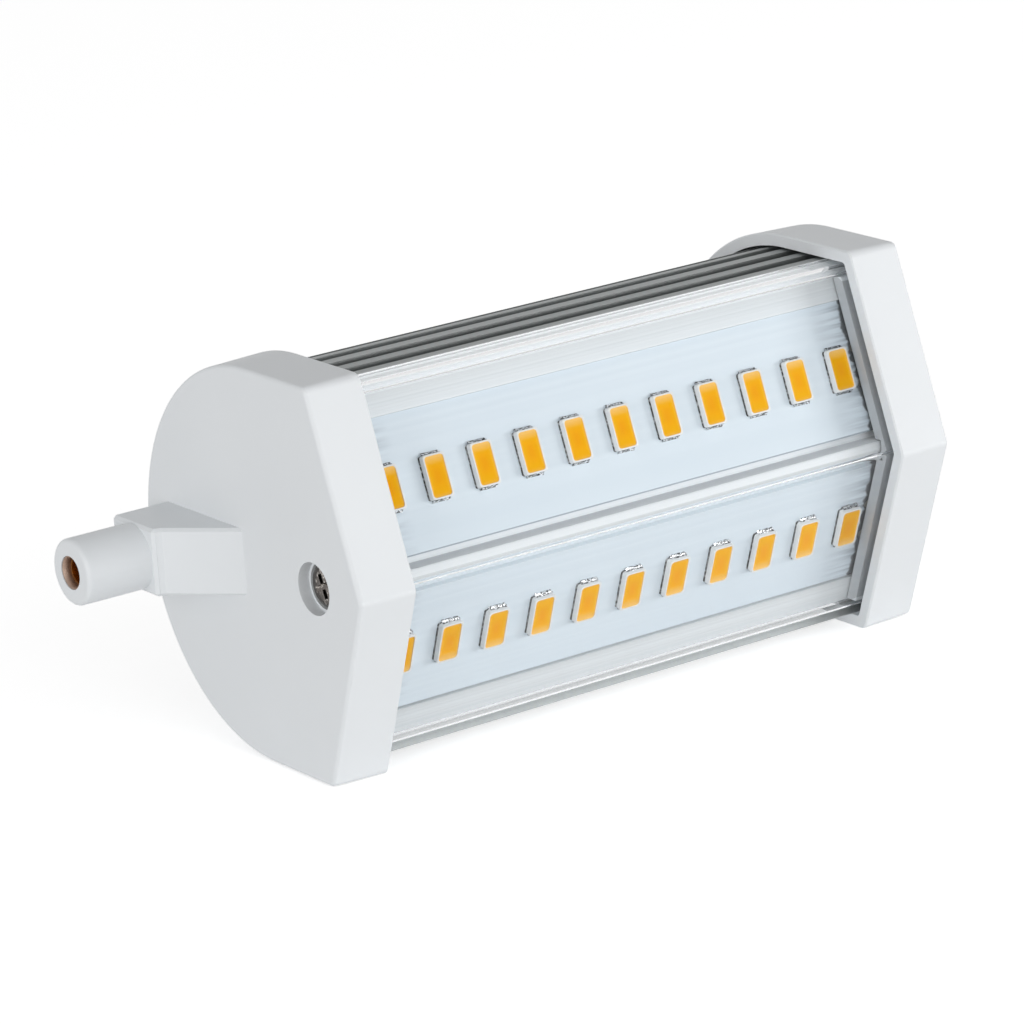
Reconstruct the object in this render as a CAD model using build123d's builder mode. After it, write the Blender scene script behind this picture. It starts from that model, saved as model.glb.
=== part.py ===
from build123d import *
import os
from math import cos, floor, pi, radians, sin, sqrt

# Double-ended linear LED lamp: a finned half-round heat sink with two lit boards on its shallow
# V-shaped front, a clear cover over them, and a moulded cap with a recessed contact at each end.
# X runs along the lamp, the lit front faces -Y and Z is up. The origin is midway along the lamp,
# midway between its back and its front ridge, on the surface that the caps rest on.
# In every cross-section, "reach" is measured forward from the nose axis and "height" up from it.

# Overall form
OVERALL_LENGTH = 118.0  # nose tip to nose tip
NOSE_REACH = 16.1  # outer face of a cap to its nose tip
CAP_LENGTH = 7.5  # outer face of a cap to its rim
BACK_RADIUS = 23.7  # round back of a cap at its rim, which is also half the cap's height
BACK_CENTRE = 14.45  # nose axis to the centre of the round back
RIDGE_REACH = 35.3  # nose axis to the front ridge of a cap at its rim
FRONT_SLOPE = 19.6  # lean of each front face, in degrees

# End caps
CAP_WALL = 1.5
CAP_FLOOR = 2.5
CAP_DRAFT = 1.8  # degrees
CAP_CORNER = 1.2  # rounding of the two front corners and the ridge
CAP_EDGE = 0.5  # rounding of the outer face's edge
RIM_EDGE = 0.2  # chamfer of the rim's outer edge
CAP_CLEARANCE = 0.3  # between a cap's wall and what it holds
POCKET_CORNER = 0.6
TONGUE_CLEARANCE = 0.2

# Nose and the wedge-shaped block behind it
NOSE_RADIUS = 3.95
NOSE_TIP_EDGE = 0.6
BLOCK_REACH = 7.5  # outer face of a cap to the block's flange
BLOCK_HEIGHT = 8.1
BLOCK_BACK = 4.3  # nose axis to the block's straight back
BLOCK_FLANGE_FRONT = 4.4  # nose axis to the front of the flange
BLOCK_ROOT_FRONT = 11.7  # nose axis to the front of the block at the cap
BLOCK_FLANGE = 0.8  # straight edge of the flange, before the slant
BLOCK_EDGE = 0.35

# Recessed contact
CONTACT_RADIUS = 1.95
CONTACT_WALL = 0.3
CONTACT_DEPTH = 1.9
CONTACT_FLOOR = 0.4
CONTACT_SETBACK = 0.1
SHANK_RADIUS = 1.05
SHANK_LENGTH = 6.0
CONTACT_FIT = 0.05

# Cap screws
SCREW_BEHIND_RIDGE = 9.5
SCREW_RADIUS = 1.2
SCREW_LENGTH = 10.0  # under the head
HEAD_RADIUS = 2.6
HEAD_HEIGHT = 1.5
HEAD_EDGE = 0.45
HEAD_CLEARANCE = 0.2
HEAD_ROOM = 0.1  # from the top of the head to the ledge in the recess
LEDGE_DEPTH = 1.5
LEDGE_WIDTH = 0.3
SCREW_WALL = 1.4  # plastic under the head
BOSS_WALL = 1.5
CROSS_LENGTH = 3.0
CROSS_WIDTH = 0.6
CROSS_DEPTH = 0.9
SCREW_CLEARANCE = 0.3
THREAD_FIT = 0.05

# Clear cover
COVER_WALL = 1.3
COVER_CORNER = 1.0
COVER_RETURN = 3.79  # front corner of the cover to its rear edge
COVER_GAP = 0.15
COVER_END_GAP = 0.3

# Heat sink
FIN_PITCH = 3.28
FIN_GROOVE = 1.8
FIN_DEPTH = 2.2
FRONT_FIN = 1.2  # least width of the fin beside the cover
SHELL_WALL = 1.2
PLATE_WALL = 5.4
PORT_WALL = 1.15
RIB_HALF_WIDTH = 0.87
RIB_PROUD = 0.9
SHELF_PROUD = 0.3

# Lit boards and their LEDs
LED_ROOM = 1.3  # between an LED and the cover
LED_COUNT = 11
LED_END = 2.55  # cap rim to the centre of the last LED
LED_LENGTH = 5.2
LED_WIDTH = 3.0
LED_HEIGHT = 0.9
LED_FRAME = 0.25
CUP_DEPTH = 0.4
PHOSPHOR_DEPTH = 0.35
LEAD_WIDTH = 1.8
LEAD_REACH = 0.3
LEAD_HEIGHT = 0.35
BOARD_START = 2.0  # ridge plane to the inner edge of a board
BOARD_WIDTH = 16.0
BOARD_WALL = 1.2
BOARD_GAP = 0.15
BOARD_END = 1.4  # end of the heat sink to the end of a board

# Driver
SLEEVE_WALL = 0.8
SLEEVE_CLEARANCE = 0.3
SLEEVE_END = 0.4  # end of the heat sink to the end of the sleeve
GUIDE_WALL = 1.2
GUIDE_GRIP = 1.3
DRIVER_WALL = 1.6
DRIVER_GAP = 0.15
DRIVER_EDGE_GAP = 0.3
HEADROOM = 0.5
COMPONENT_GAP = 1.5
EDGE_MARGIN = 2.0  # edge of the driver board to the outer row of components
PIN_RADIUS = 0.35

# Driver components: sizes along X, up, and off the board
VARISTOR_RADIUS = 3.5
VARISTOR_WALL = 3.2
VARISTOR_LIFT = 1.2
VARISTOR_EDGE = 0.6
FUSE_RADIUS = 1.6
FUSE_LENGTH = 8.0
FUSE_LIFT = 0.6
FUSE_LEAD = 1.2
FILM_LENGTH = 10.0
FILM_WIDTH = 5.0
FILM_HEIGHT = 8.5
FILM_CORNER = 0.4
CHOKE_RADIUS = 3.6
CHOKE_FLANGE = 1.2
CHOKE_HEIGHT = 8.0
CHOKE_WAIST = 0.5
BRIDGE_LENGTH = 4.8
BRIDGE_WIDTH = 4.0
BRIDGE_HEIGHT = 2.4
CHIP_LENGTH = 4.9
CHIP_WIDTH = 3.9
CHIP_HEIGHT = 1.5
CHIP_EDGE = 0.2
CHIP_LEAD_WIDTH = 0.45
CHIP_LEAD_REACH = 1.0
CHIP_LEAD_HEIGHT = 0.25
INPUT_CAN_RADIUS = 4.0
INPUT_CAN_HEIGHT = 10.5
OUTPUT_CAN_RADIUS = 4.0
OUTPUT_CAN_HEIGHT = 9.5
CAN_EDGE = 0.6
CAN_GROOVE_HEIGHT = 1.4
CAN_GROOVE = 0.4
CORE_LENGTH = 13.0
CORE_WIDTH = 12.0
CORE_HEIGHT = 5.0
CORE_LEG = 3.4
CORE_YOKE = 1.6
WINDING_WALL = 2.3
WINDING_GAP = 0.12

# Wires
WIRE_RADIUS = 0.6
WIRE_BEND = 3.0
WIRE_END = 1.0  # end of the driver board to a wire's centre
LINK_RADIUS = 0.45
LINK_SPACING = 4.0
LINK_HOLE = 0.12
LINK_INSULATION = 0.5

# Sizes that follow from those above
LEAN = radians(FRONT_SLOPE)
TIP_X = OVERALL_LENGTH / 2
FACE_X = TIP_X - NOSE_REACH
RIM_X = FACE_X - CAP_LENGTH
POCKET_DEPTH = CAP_LENGTH - CAP_FLOOR
FLOOR_X = RIM_X + POCKET_DEPTH
HEAD_POCKET_DEPTH = HEAD_HEIGHT + HEAD_ROOM
SINK_END = FACE_X - LEDGE_DEPTH - HEAD_POCKET_DEPTH - SCREW_WALL
AXIS_Y = (RIDGE_REACH + BACK_CENTRE - BACK_RADIUS) / 2
AXIS_Z = BACK_RADIUS
BODY_INSET = CAP_WALL + CAP_CLEARANCE
BODY_RADIUS = BACK_RADIUS - BODY_INSET
COVER_INSIDE = BODY_INSET + COVER_WALL
BOARD_INSET = COVER_INSIDE + LED_ROOM + LED_HEIGHT
SEAT_INSET = BOARD_INSET + BOARD_WALL
SHELF_INSET = BOARD_INSET - SHELF_PROUD
RIB_INSET = BOARD_INSET - RIB_PROUD
COVER_CORNER_REACH = RIDGE_REACH - (BODY_INSET + BODY_RADIUS * sin(LEAN)) / cos(LEAN)
COVER_EDGE_REACH = COVER_CORNER_REACH - COVER_RETURN
RAIL_HEIGHT = BODY_RADIUS - COVER_WALL - CAP_CLEARANCE
CHAMBER_BACK = BODY_INSET + FIN_DEPTH + SHELL_WALL
CHAMBER_FRONT = SEAT_INSET + PLATE_WALL
SCREW_REACH = RIDGE_REACH - SCREW_BEHIND_RIDGE
THREAD_RADIUS = SCREW_RADIUS + THREAD_FIT
PORT_RADIUS = THREAD_RADIUS + PORT_WALL
CHAMBER_FLAT = SCREW_REACH - PORT_RADIUS
HEAD_POCKET_RADIUS = HEAD_RADIUS + HEAD_CLEARANCE
LED_PITCH = 2 * (RIM_X - LED_END) / (LED_COUNT - 1)
LED_OFFSET = BOARD_START + BOARD_WIDTH / 2
LED_STATIONS = [LED_PITCH * (i - (LED_COUNT - 1) / 2) for i in range(LED_COUNT)]
BOARD_HALF = SINK_END - BOARD_END
CONTACT_BORE = CONTACT_RADIUS + CONTACT_FIT
SHANK_END = TIP_X - CONTACT_SETBACK - CONTACT_DEPTH - CONTACT_FLOOR - SHANK_LENGTH
WINDING_HEIGHT = CORE_HEIGHT + 2 * (WINDING_WALL + WINDING_GAP)
TALLEST = max(INPUT_CAN_HEIGHT, OUTPUT_CAN_HEIGHT, WINDING_HEIGHT, FILM_HEIGHT, CHOKE_HEIGHT)
TALL_HALF_WIDTH = max(INPUT_CAN_RADIUS, OUTPUT_CAN_RADIUS, CORE_WIDTH / 2 - CORE_YOKE)
SLEEVE_INSIDE = SLEEVE_CLEARANCE + SLEEVE_WALL
SLEEVE_FRONT = CHAMBER_FRONT + SLEEVE_INSIDE
TALL_REACH = RIDGE_REACH - (SLEEVE_FRONT + TALL_HALF_WIDTH * sin(LEAN)) / cos(LEAN)
DRIVER_FRONT = min(CHAMBER_FLAT - SLEEVE_INSIDE, TALL_REACH) - HEADROOM - TALLEST
DRIVER_BACK = DRIVER_FRONT - DRIVER_WALL
SLEEVE_RADIUS = BACK_RADIUS - CHAMBER_BACK - SLEEVE_INSIDE
DRIVER_SETBACK = max(BACK_CENTRE - DRIVER_BACK, DRIVER_FRONT - BACK_CENTRE)
DRIVER_HALF_HEIGHT = sqrt(SLEEVE_RADIUS**2 - DRIVER_SETBACK**2) - DRIVER_EDGE_GAP
DRIVER_HALF = BOARD_HALF
WIRE_X = DRIVER_HALF - WIRE_END
LINK_HEIGHT = LED_OFFSET * cos(LEAN)


def across(x):
    """Plane across the lamp at x, with its own X forward, its own Y up and its normal along -X."""
    return Plane(origin=(x, AXIS_Y, AXIS_Z), x_dir=(0, -1, 0), z_dir=(-1, 0, 0))


def facing(reach):
    """Plane that faces the front at a reach, with its own X along the lamp and its own Y up."""
    return Plane(origin=(0, AXIS_Y - reach, AXIS_Z), x_dir=(1, 0, 0), z_dir=(0, -1, 0))


def lying(height):
    """Level plane at a height, with its own X along the lamp and its own Y forward."""
    return Plane(origin=(0, AXIS_Y, AXIS_Z + height), x_dir=(1, 0, 0), z_dir=(0, 0, -1))


def front_at(inset, height):
    """Reach, at a height, of the front face that lies an inset inside the cap's front."""
    return RIDGE_REACH - (inset + abs(height) * sin(LEAN)) / cos(LEAN)


def board_plane(side):
    """Plane on the upper (1) or lower (-1) board's surface, with its own X along the lamp."""
    ridge = (0, AXIS_Y - front_at(BOARD_INSET, 0), AXIS_Z)
    return Plane(origin=ridge, x_dir=(1, 0, 0), z_dir=(0, -cos(LEAN), side * sin(LEAN)))


def on_board(along, above):
    """Reach and height of a point along the upper board from the ridge and above its surface."""
    reach = front_at(BOARD_INSET, 0) - along * sin(LEAN) + above * cos(LEAN)
    return (reach, along * cos(LEAN) + above * sin(LEAN))


def lamp_outline(back_inset, front_inset, rounding):
    """Section of the lamp: a round back, two flats and a shallow V-shaped front."""
    half = BACK_RADIUS - back_inset
    corner = front_at(front_inset, half)
    with BuildSketch() as outline:
        with BuildLine():
            Polyline(
                (BACK_CENTRE, half),
                (corner, half),
                (front_at(front_inset, 0), 0),
                (corner, -half),
                (BACK_CENTRE, -half),
            )
            ThreePointArc((BACK_CENTRE, -half), (BACK_CENTRE - half, 0), (BACK_CENTRE, half))
        make_face()
        fillet(outline.vertices().sort_by(Axis.X)[-3:], rounding)
    return outline.sketch


def chamber_outline(inset):
    """Section of the driver's chamber, drawn in by an inset: a circle cut by the front plate."""
    rear = BACK_CENTRE - BACK_RADIUS
    edge = front_at(CHAMBER_FRONT + inset, BACK_RADIUS)
    with BuildSketch() as outline:
        with Locations((BACK_CENTRE, 0)):
            Circle(BACK_RADIUS - CHAMBER_BACK - inset)
        with BuildLine():
            Polyline(
                (rear, -BACK_RADIUS),
                (edge, -BACK_RADIUS),
                (front_at(CHAMBER_FRONT + inset, 0), 0),
                (edge, BACK_RADIUS),
                (rear, BACK_RADIUS),
                close=True,
            )
        make_face(mode=Mode.INTERSECT)
        with Locations((CHAMBER_FLAT - inset, 0)):
            Rectangle(RIDGE_REACH, 2 * BACK_RADIUS, align=(Align.MIN, Align.CENTER), mode=Mode.SUBTRACT)
    return outline.sketch


def guide_outline():
    """Section of the sleeve's guides, on both sides of the driver board's upper and lower edge."""
    with BuildSketch() as outline:
        for start in (DRIVER_FRONT + DRIVER_GAP, DRIVER_BACK - DRIVER_GAP - GUIDE_WALL):
            with Locations((start, 0)):
                Rectangle(GUIDE_WALL, 2 * BACK_RADIUS, align=(Align.MIN, Align.CENTER))
        Rectangle(2 * RIDGE_REACH, 2 * (DRIVER_HALF_HEIGHT - GUIDE_GRIP), mode=Mode.SUBTRACT)
        add(chamber_outline(SLEEVE_CLEARANCE), mode=Mode.INTERSECT)
    return outline.sketch


def keep(piece, name):
    """Labels a finished piece and writes it."""
    piece.label = name
    export_step(piece, f"parts/{name}.step")


def keep_pair(piece, name):
    """Writes a left-hand piece and its right-hand mirror image."""
    keep(piece, f"left_{name}")
    with BuildPart() as other:
        mirror(piece, about=Plane.YZ)
    keep(other.part, f"right_{name}")


os.makedirs("parts", exist_ok=True)

# End cap: a drafted cup with a tongue over the boards' ends, a screw boss, and the nose outside
with BuildPart() as cap:
    with BuildSketch(across(-RIM_X)):
        add(lamp_outline(0, 0, CAP_CORNER))
    extrude(amount=CAP_LENGTH, taper=CAP_DRAFT)
    fillet(cap.faces().sort_by(Axis.X)[0].edges(), CAP_EDGE)
    chamfer(cap.faces().sort_by(Axis.X)[-1].edges(), RIM_EDGE)
    with BuildSketch(across(-RIM_X)):
        add(lamp_outline(CAP_WALL, CAP_WALL, POCKET_CORNER))
    extrude(amount=POCKET_DEPTH, mode=Mode.SUBTRACT)

    tongue_front = COVER_INSIDE + TONGUE_CLEARANCE
    tongue_back = SHELF_INSET - TONGUE_CLEARANCE
    tongue_top = RAIL_HEIGHT - TONGUE_CLEARANCE
    with BuildSketch(across(-FLOOR_X)):
        with BuildLine():
            Polyline(
                (front_at(tongue_front, 0), 0),
                (front_at(tongue_front, tongue_top), tongue_top),
                (front_at(tongue_back, tongue_top), tongue_top),
                (front_at(tongue_back, 0), 0),
            )
            mirror(about=Plane.XZ)
        make_face()
        with Locations((front_at(RIB_INSET - TONGUE_CLEARANCE, 0), 0)):
            Rectangle(
                RIB_PROUD + BOARD_WALL,
                2 * (RIB_HALF_WIDTH + TONGUE_CLEARANCE),
                align=(Align.MAX, Align.CENTER),
                mode=Mode.SUBTRACT,
            )
    extrude(amount=-POCKET_DEPTH)

    with BuildSketch(across(-FLOOR_X)):
        with Locations((SCREW_REACH, 0)):
            Circle(HEAD_POCKET_RADIUS + BOSS_WALL)
    extrude(amount=SINK_END - FLOOR_X)

    with BuildSketch(Plane.XY.offset(AXIS_Z)):
        with BuildLine():
            Polyline(
                (-FLOOR_X, AXIS_Y + BLOCK_BACK),
                (-FACE_X - BLOCK_REACH, AXIS_Y + BLOCK_BACK),
                (-FACE_X - BLOCK_REACH, AXIS_Y - BLOCK_FLANGE_FRONT),
                (-FACE_X - BLOCK_REACH + BLOCK_FLANGE, AXIS_Y - BLOCK_FLANGE_FRONT),
                (-FACE_X, AXIS_Y - BLOCK_ROOT_FRONT),
                (-FLOOR_X, AXIS_Y - BLOCK_ROOT_FRONT),
                close=True,
            )
        make_face()
    extrude(amount=BLOCK_HEIGHT / 2, both=True)
    block_edges = cap.edges().filter_by_position(Axis.X, -TIP_X, -FACE_X - BLOCK_EDGE)
    chamfer(block_edges, BLOCK_EDGE)

    with BuildSketch(across(-FACE_X - BLOCK_REACH)):
        Circle(NOSE_RADIUS)
    extrude(amount=NOSE_REACH - BLOCK_REACH)
    fillet(cap.faces().sort_by(Axis.X)[0].edges(), NOSE_TIP_EDGE)

    with BuildSketch(across(-TIP_X)):
        Circle(CONTACT_BORE)
    extrude(amount=-(CONTACT_SETBACK + CONTACT_DEPTH + CONTACT_FLOOR), mode=Mode.SUBTRACT)
    with BuildSketch(across(-TIP_X)):
        Circle(SHANK_RADIUS + CONTACT_FIT)
    extrude(amount=-(TIP_X - FLOOR_X), mode=Mode.SUBTRACT)

    for radius, depth in (
        (HEAD_POCKET_RADIUS + LEDGE_WIDTH, LEDGE_DEPTH),
        (HEAD_POCKET_RADIUS, LEDGE_DEPTH + HEAD_POCKET_DEPTH),
        (SCREW_RADIUS + SCREW_CLEARANCE, FACE_X - SINK_END),
    ):
        with BuildSketch(across(-FACE_X)):
            with Locations((SCREW_REACH, 0)):
                Circle(radius)
        extrude(amount=-depth, mode=Mode.SUBTRACT)
keep_pair(cap.part, "end_cap")

# Recessed contact: a drawn cup with a shank that its wire is joined to
with BuildPart() as contact:
    mouth = across(-TIP_X + CONTACT_SETBACK)
    with BuildSketch(mouth):
        Circle(CONTACT_RADIUS)
    extrude(amount=-(CONTACT_DEPTH + CONTACT_FLOOR))
    with BuildSketch(mouth):
        Circle(CONTACT_RADIUS - CONTACT_WALL)
    extrude(amount=-CONTACT_DEPTH, mode=Mode.SUBTRACT)
    with BuildSketch(across(-SHANK_END)):
        Circle(SHANK_RADIUS)
    extrude(amount=SHANK_LENGTH)
keep_pair(contact.part, "contact")

# Cap screw: a chamfered head with a cross recess, on a shank that enters the heat sink's port
with BuildPart() as screw:
    seat_x = -FACE_X + LEDGE_DEPTH + HEAD_POCKET_DEPTH
    with BuildSketch(across(seat_x)):
        with Locations((SCREW_REACH, 0)):
            Circle(HEAD_RADIUS)
    extrude(amount=HEAD_HEIGHT)
    chamfer(screw.faces().sort_by(Axis.X)[0].edges(), HEAD_EDGE)
    with BuildSketch(across(seat_x - HEAD_HEIGHT)):
        with Locations((SCREW_REACH, 0)):
            Rectangle(CROSS_LENGTH, CROSS_WIDTH)
            Rectangle(CROSS_WIDTH, CROSS_LENGTH)
    extrude(amount=-CROSS_DEPTH, mode=Mode.SUBTRACT)
    with BuildSketch(across(seat_x)):
        with Locations((SCREW_REACH, 0)):
            Circle(SCREW_RADIUS)
    extrude(amount=-SCREW_LENGTH)
keep_pair(screw.part, "cap_screw")

# Heat sink: one extrusion with grooved round back, V-shaped front, board seats and screw port,
# notched at its right end for the wires to the boards
half_arc_grooves = floor(pi / 2 * BODY_RADIUS / FIN_PITCH)
groove_angle = FIN_PITCH / BODY_RADIUS * 180 / pi
first_flat_groove = FIN_PITCH * (half_arc_grooves + 1) - pi / 2 * BODY_RADIUS
flat_room = COVER_EDGE_REACH - BACK_CENTRE - FRONT_FIN - FIN_GROOVE / 2 - first_flat_groove
flat_grooves = [
    (BACK_CENTRE + first_flat_groove + FIN_PITCH * i, side * BODY_RADIUS)
    for i in range(floor(flat_room / FIN_PITCH) + 1)
    for side in (1, -1)
]
board_edge = BOARD_START + BOARD_WIDTH + BOARD_GAP
link_spots = [
    (WIRE_X, side * (LINK_HEIGHT + offset))
    for side in (1, -1)
    for offset in (-LINK_SPACING / 2, LINK_SPACING / 2)
]
notch_start = WIRE_X - LINK_RADIUS - LINK_INSULATION
notch_height = LINK_SPACING + 2 * (LINK_RADIUS + LINK_INSULATION)
with BuildPart() as heatsink:
    with BuildSketch(across(0)):
        with BuildLine():
            Polyline(
                (front_at(RIB_INSET, 0), 0),
                (front_at(RIB_INSET, RIB_HALF_WIDTH), RIB_HALF_WIDTH),
                (front_at(SEAT_INSET, RIB_HALF_WIDTH), RIB_HALF_WIDTH),
                on_board(board_edge, -BOARD_WALL),
                on_board(board_edge, SHELF_PROUD),
                (front_at(SHELF_INSET, RAIL_HEIGHT), RAIL_HEIGHT),
                (COVER_EDGE_REACH, RAIL_HEIGHT),
                (COVER_EDGE_REACH, BODY_RADIUS),
                (BACK_CENTRE, BODY_RADIUS),
            )
            mirror(about=Plane.XZ)
            ThreePointArc(
                (BACK_CENTRE, -BODY_RADIUS),
                (BACK_CENTRE - BODY_RADIUS, 0),
                (BACK_CENTRE, BODY_RADIUS),
            )
        make_face()
        add(chamber_outline(0), mode=Mode.SUBTRACT)
        with Locations((SCREW_REACH, 0)):
            Circle(THREAD_RADIUS, mode=Mode.SUBTRACT)
        with Locations(*flat_grooves):
            Rectangle(FIN_GROOVE, 2 * FIN_DEPTH, mode=Mode.SUBTRACT)
        with Locations((BACK_CENTRE, 0)):
            with PolarLocations(
                BODY_RADIUS,
                2 * half_arc_grooves + 1,
                start_angle=180 - half_arc_grooves * groove_angle,
                angular_range=2 * half_arc_grooves * groove_angle,
                endpoint=True,
            ):
                Rectangle(2 * FIN_DEPTH, FIN_GROOVE, mode=Mode.SUBTRACT)
    extrude(amount=SINK_END, both=True)
    with BuildSketch(facing(DRIVER_FRONT)):
        with Locations((notch_start, LINK_HEIGHT), (notch_start, -LINK_HEIGHT)):
            Rectangle(SINK_END - notch_start, notch_height, align=(Align.MIN, Align.CENTER))
    extrude(amount=RIDGE_REACH - DRIVER_FRONT, mode=Mode.SUBTRACT)
keep(heatsink.part, "heatsink")

# Clear cover: a V-shaped front with a return along each edge, up to the heat sink's first fin
with BuildPart() as cover:
    with BuildSketch(across(0)):
        add(lamp_outline(BODY_INSET, BODY_INSET, COVER_CORNER))
        add(lamp_outline(COVER_INSIDE, COVER_INSIDE, COVER_CORNER / 2), mode=Mode.SUBTRACT)
        with Locations((COVER_EDGE_REACH + COVER_GAP, 0)):
            Rectangle(
                2 * RIDGE_REACH,
                2 * BACK_RADIUS,
                align=(Align.MAX, Align.CENTER),
                mode=Mode.SUBTRACT,
            )
    extrude(amount=FLOOR_X - COVER_END_GAP, both=True)
keep(cover.part, "clear_cover")

# Lit boards, their LED packages, the phosphor in each package and the soldered terminals
for row, side in (("upper", 1), ("lower", -1)):
    surface = board_plane(side)
    spots = [(x, side * LED_OFFSET) for x in LED_STATIONS]
    with BuildPart() as board:
        with BuildSketch(surface):
            with Locations((0, side * LED_OFFSET)):
                Rectangle(2 * BOARD_HALF, BOARD_WIDTH)
        extrude(amount=-BOARD_WALL)
        with BuildSketch(facing(DRIVER_FRONT)):
            with Locations(*link_spots):
                Circle(LINK_RADIUS + LINK_HOLE)
        extrude(amount=RIDGE_REACH - DRIVER_FRONT, mode=Mode.SUBTRACT)
    keep(board.part, f"{row}_led_board")

    window_width = LED_WIDTH - 2 * LED_FRAME
    window_length = LED_LENGTH - 2 * LED_FRAME
    for number, spot in enumerate(spots, start=1):
        with BuildPart() as package:
            with BuildSketch(surface):
                with Locations(spot):
                    Rectangle(LED_WIDTH, LED_LENGTH)
            extrude(amount=LED_HEIGHT)
            with BuildSketch(surface.offset(LED_HEIGHT)):
                with Locations(spot):
                    Rectangle(window_width, window_length)
            extrude(amount=-CUP_DEPTH, mode=Mode.SUBTRACT)
        keep(package.part, f"{row}_led_{number:02d}")

    with BuildPart() as phosphor:
        with BuildSketch(surface.offset(LED_HEIGHT - CUP_DEPTH)):
            with Locations(*spots):
                Rectangle(window_width, window_length)
        extrude(amount=PHOSPHOR_DEPTH)
    keep(phosphor.part, f"{row}_phosphor")

    with BuildPart() as terminals:
        with BuildSketch(surface):
            with Locations(*spots):
                with GridLocations(LED_WIDTH, LED_LENGTH + LEAD_REACH, 1, 2):
                    Rectangle(LEAD_WIDTH, LEAD_REACH)
        extrude(amount=LEAD_HEIGHT)
    keep(terminals.part, f"{row}_led_terminals")

    with BuildPart() as links:
        for x, height in link_spots:
            if height * side > 0:
                end = front_at(BOARD_INSET, abs(height) + LINK_RADIUS)
                with BuildSketch(facing(DRIVER_FRONT)):
                    with Locations((x, height)):
                        Circle(LINK_RADIUS)
                extrude(amount=end - DRIVER_FRONT)
    keep(links.part, f"{row}_board_wires")

# Insulating sleeve: lines the chamber and carries the driver board between two pairs of guides
with BuildPart() as sleeve:
    with BuildSketch(across(0)):
        add(chamber_outline(SLEEVE_CLEARANCE))
        add(chamber_outline(SLEEVE_INSIDE), mode=Mode.SUBTRACT)
        add(guide_outline())
    extrude(amount=SINK_END - SLEEVE_END, both=True)
    with BuildSketch(facing(DRIVER_FRONT)):
        with Locations((notch_start, LINK_HEIGHT), (notch_start, -LINK_HEIGHT)):
            Rectangle(SINK_END - notch_start, notch_height, align=(Align.MIN, Align.CENTER))
    extrude(amount=RIDGE_REACH - DRIVER_FRONT, mode=Mode.SUBTRACT)
keep(sleeve.part, "driver_sleeve")

# Driver board
with BuildPart() as driver_board:
    with BuildSketch(facing(DRIVER_FRONT)):
        Rectangle(2 * DRIVER_HALF, 2 * DRIVER_HALF_HEIGHT)
    extrude(amount=-DRIVER_WALL)
keep(driver_board.part, "driver_board")

# Stations along the driver board, each starting where the one before it ends
fuse_span = FUSE_LENGTH + 2 * (FUSE_LEAD + PIN_RADIUS)
input_start = -DRIVER_HALF + EDGE_MARGIN
filter_start = input_start + max(VARISTOR_WALL, fuse_span) + COMPONENT_GAP
chip_start = filter_start + max(FILM_LENGTH, 2 * CHOKE_RADIUS) + COMPONENT_GAP
input_can_start = chip_start + max(BRIDGE_LENGTH, CHIP_LENGTH) + COMPONENT_GAP
core_start = input_can_start + 2 * INPUT_CAN_RADIUS + COMPONENT_GAP
output_can_start = core_start + CORE_LENGTH + COMPONENT_GAP

# Varistor: a disc on edge, on two pins
varistor_x = input_start + VARISTOR_WALL / 2
varistor_height = COMPONENT_GAP / 2 + VARISTOR_RADIUS
with BuildPart() as varistor:
    with BuildSketch(across(varistor_x)):
        with Locations((DRIVER_FRONT + VARISTOR_LIFT + VARISTOR_RADIUS, varistor_height)):
            Circle(VARISTOR_RADIUS)
    extrude(amount=VARISTOR_WALL / 2, both=True)
    chamfer(varistor.edges().filter_by(GeomType.CIRCLE), VARISTOR_EDGE)
    with BuildSketch(facing(DRIVER_FRONT)):
        with Locations((varistor_x, varistor_height)):
            with GridLocations(VARISTOR_WALL, VARISTOR_RADIUS, 1, 2):
                Circle(PIN_RADIUS)
    extrude(amount=VARISTOR_LIFT + VARISTOR_RADIUS)
keep(varistor.part, "varistor")

# Fuse resistor: lies along the board on two bent leads
fuse_x = input_start + fuse_span / 2
fuse_height = -COMPONENT_GAP / 2 - FUSE_RADIUS
fuse_leg = FUSE_LENGTH / 2 + FUSE_LEAD
fuse_axis = DRIVER_FRONT + FUSE_LIFT + FUSE_RADIUS
with BuildPart() as fuse:
    with BuildLine(lying(fuse_height)) as lead:
        Polyline(
            (fuse_x - fuse_leg, DRIVER_FRONT),
            (fuse_x - fuse_leg, fuse_axis),
            (fuse_x + fuse_leg, fuse_axis),
            (fuse_x + fuse_leg, DRIVER_FRONT),
        )
    with BuildSketch(Plane(origin=lead.line @ 0, z_dir=lead.line % 0)):
        Circle(PIN_RADIUS)
    sweep(transition=Transition.RIGHT)
    with BuildSketch(across(fuse_x)):
        with Locations((fuse_axis, fuse_height)):
            Circle(FUSE_RADIUS)
    extrude(amount=FUSE_LENGTH / 2, both=True)
keep(fuse.part, "fuse_resistor")

# Film capacitor: a moulded box
with BuildPart() as film_capacitor:
    with BuildSketch(facing(DRIVER_FRONT)):
        with Locations((filter_start, COMPONENT_GAP / 2)):
            Rectangle(FILM_LENGTH, FILM_WIDTH, align=(Align.MIN, Align.MIN))
    extrude(amount=FILM_HEIGHT)
    fillet(film_capacitor.edges().filter_by(Axis.Y), FILM_CORNER)
keep(film_capacitor.part, "film_capacitor")

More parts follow.
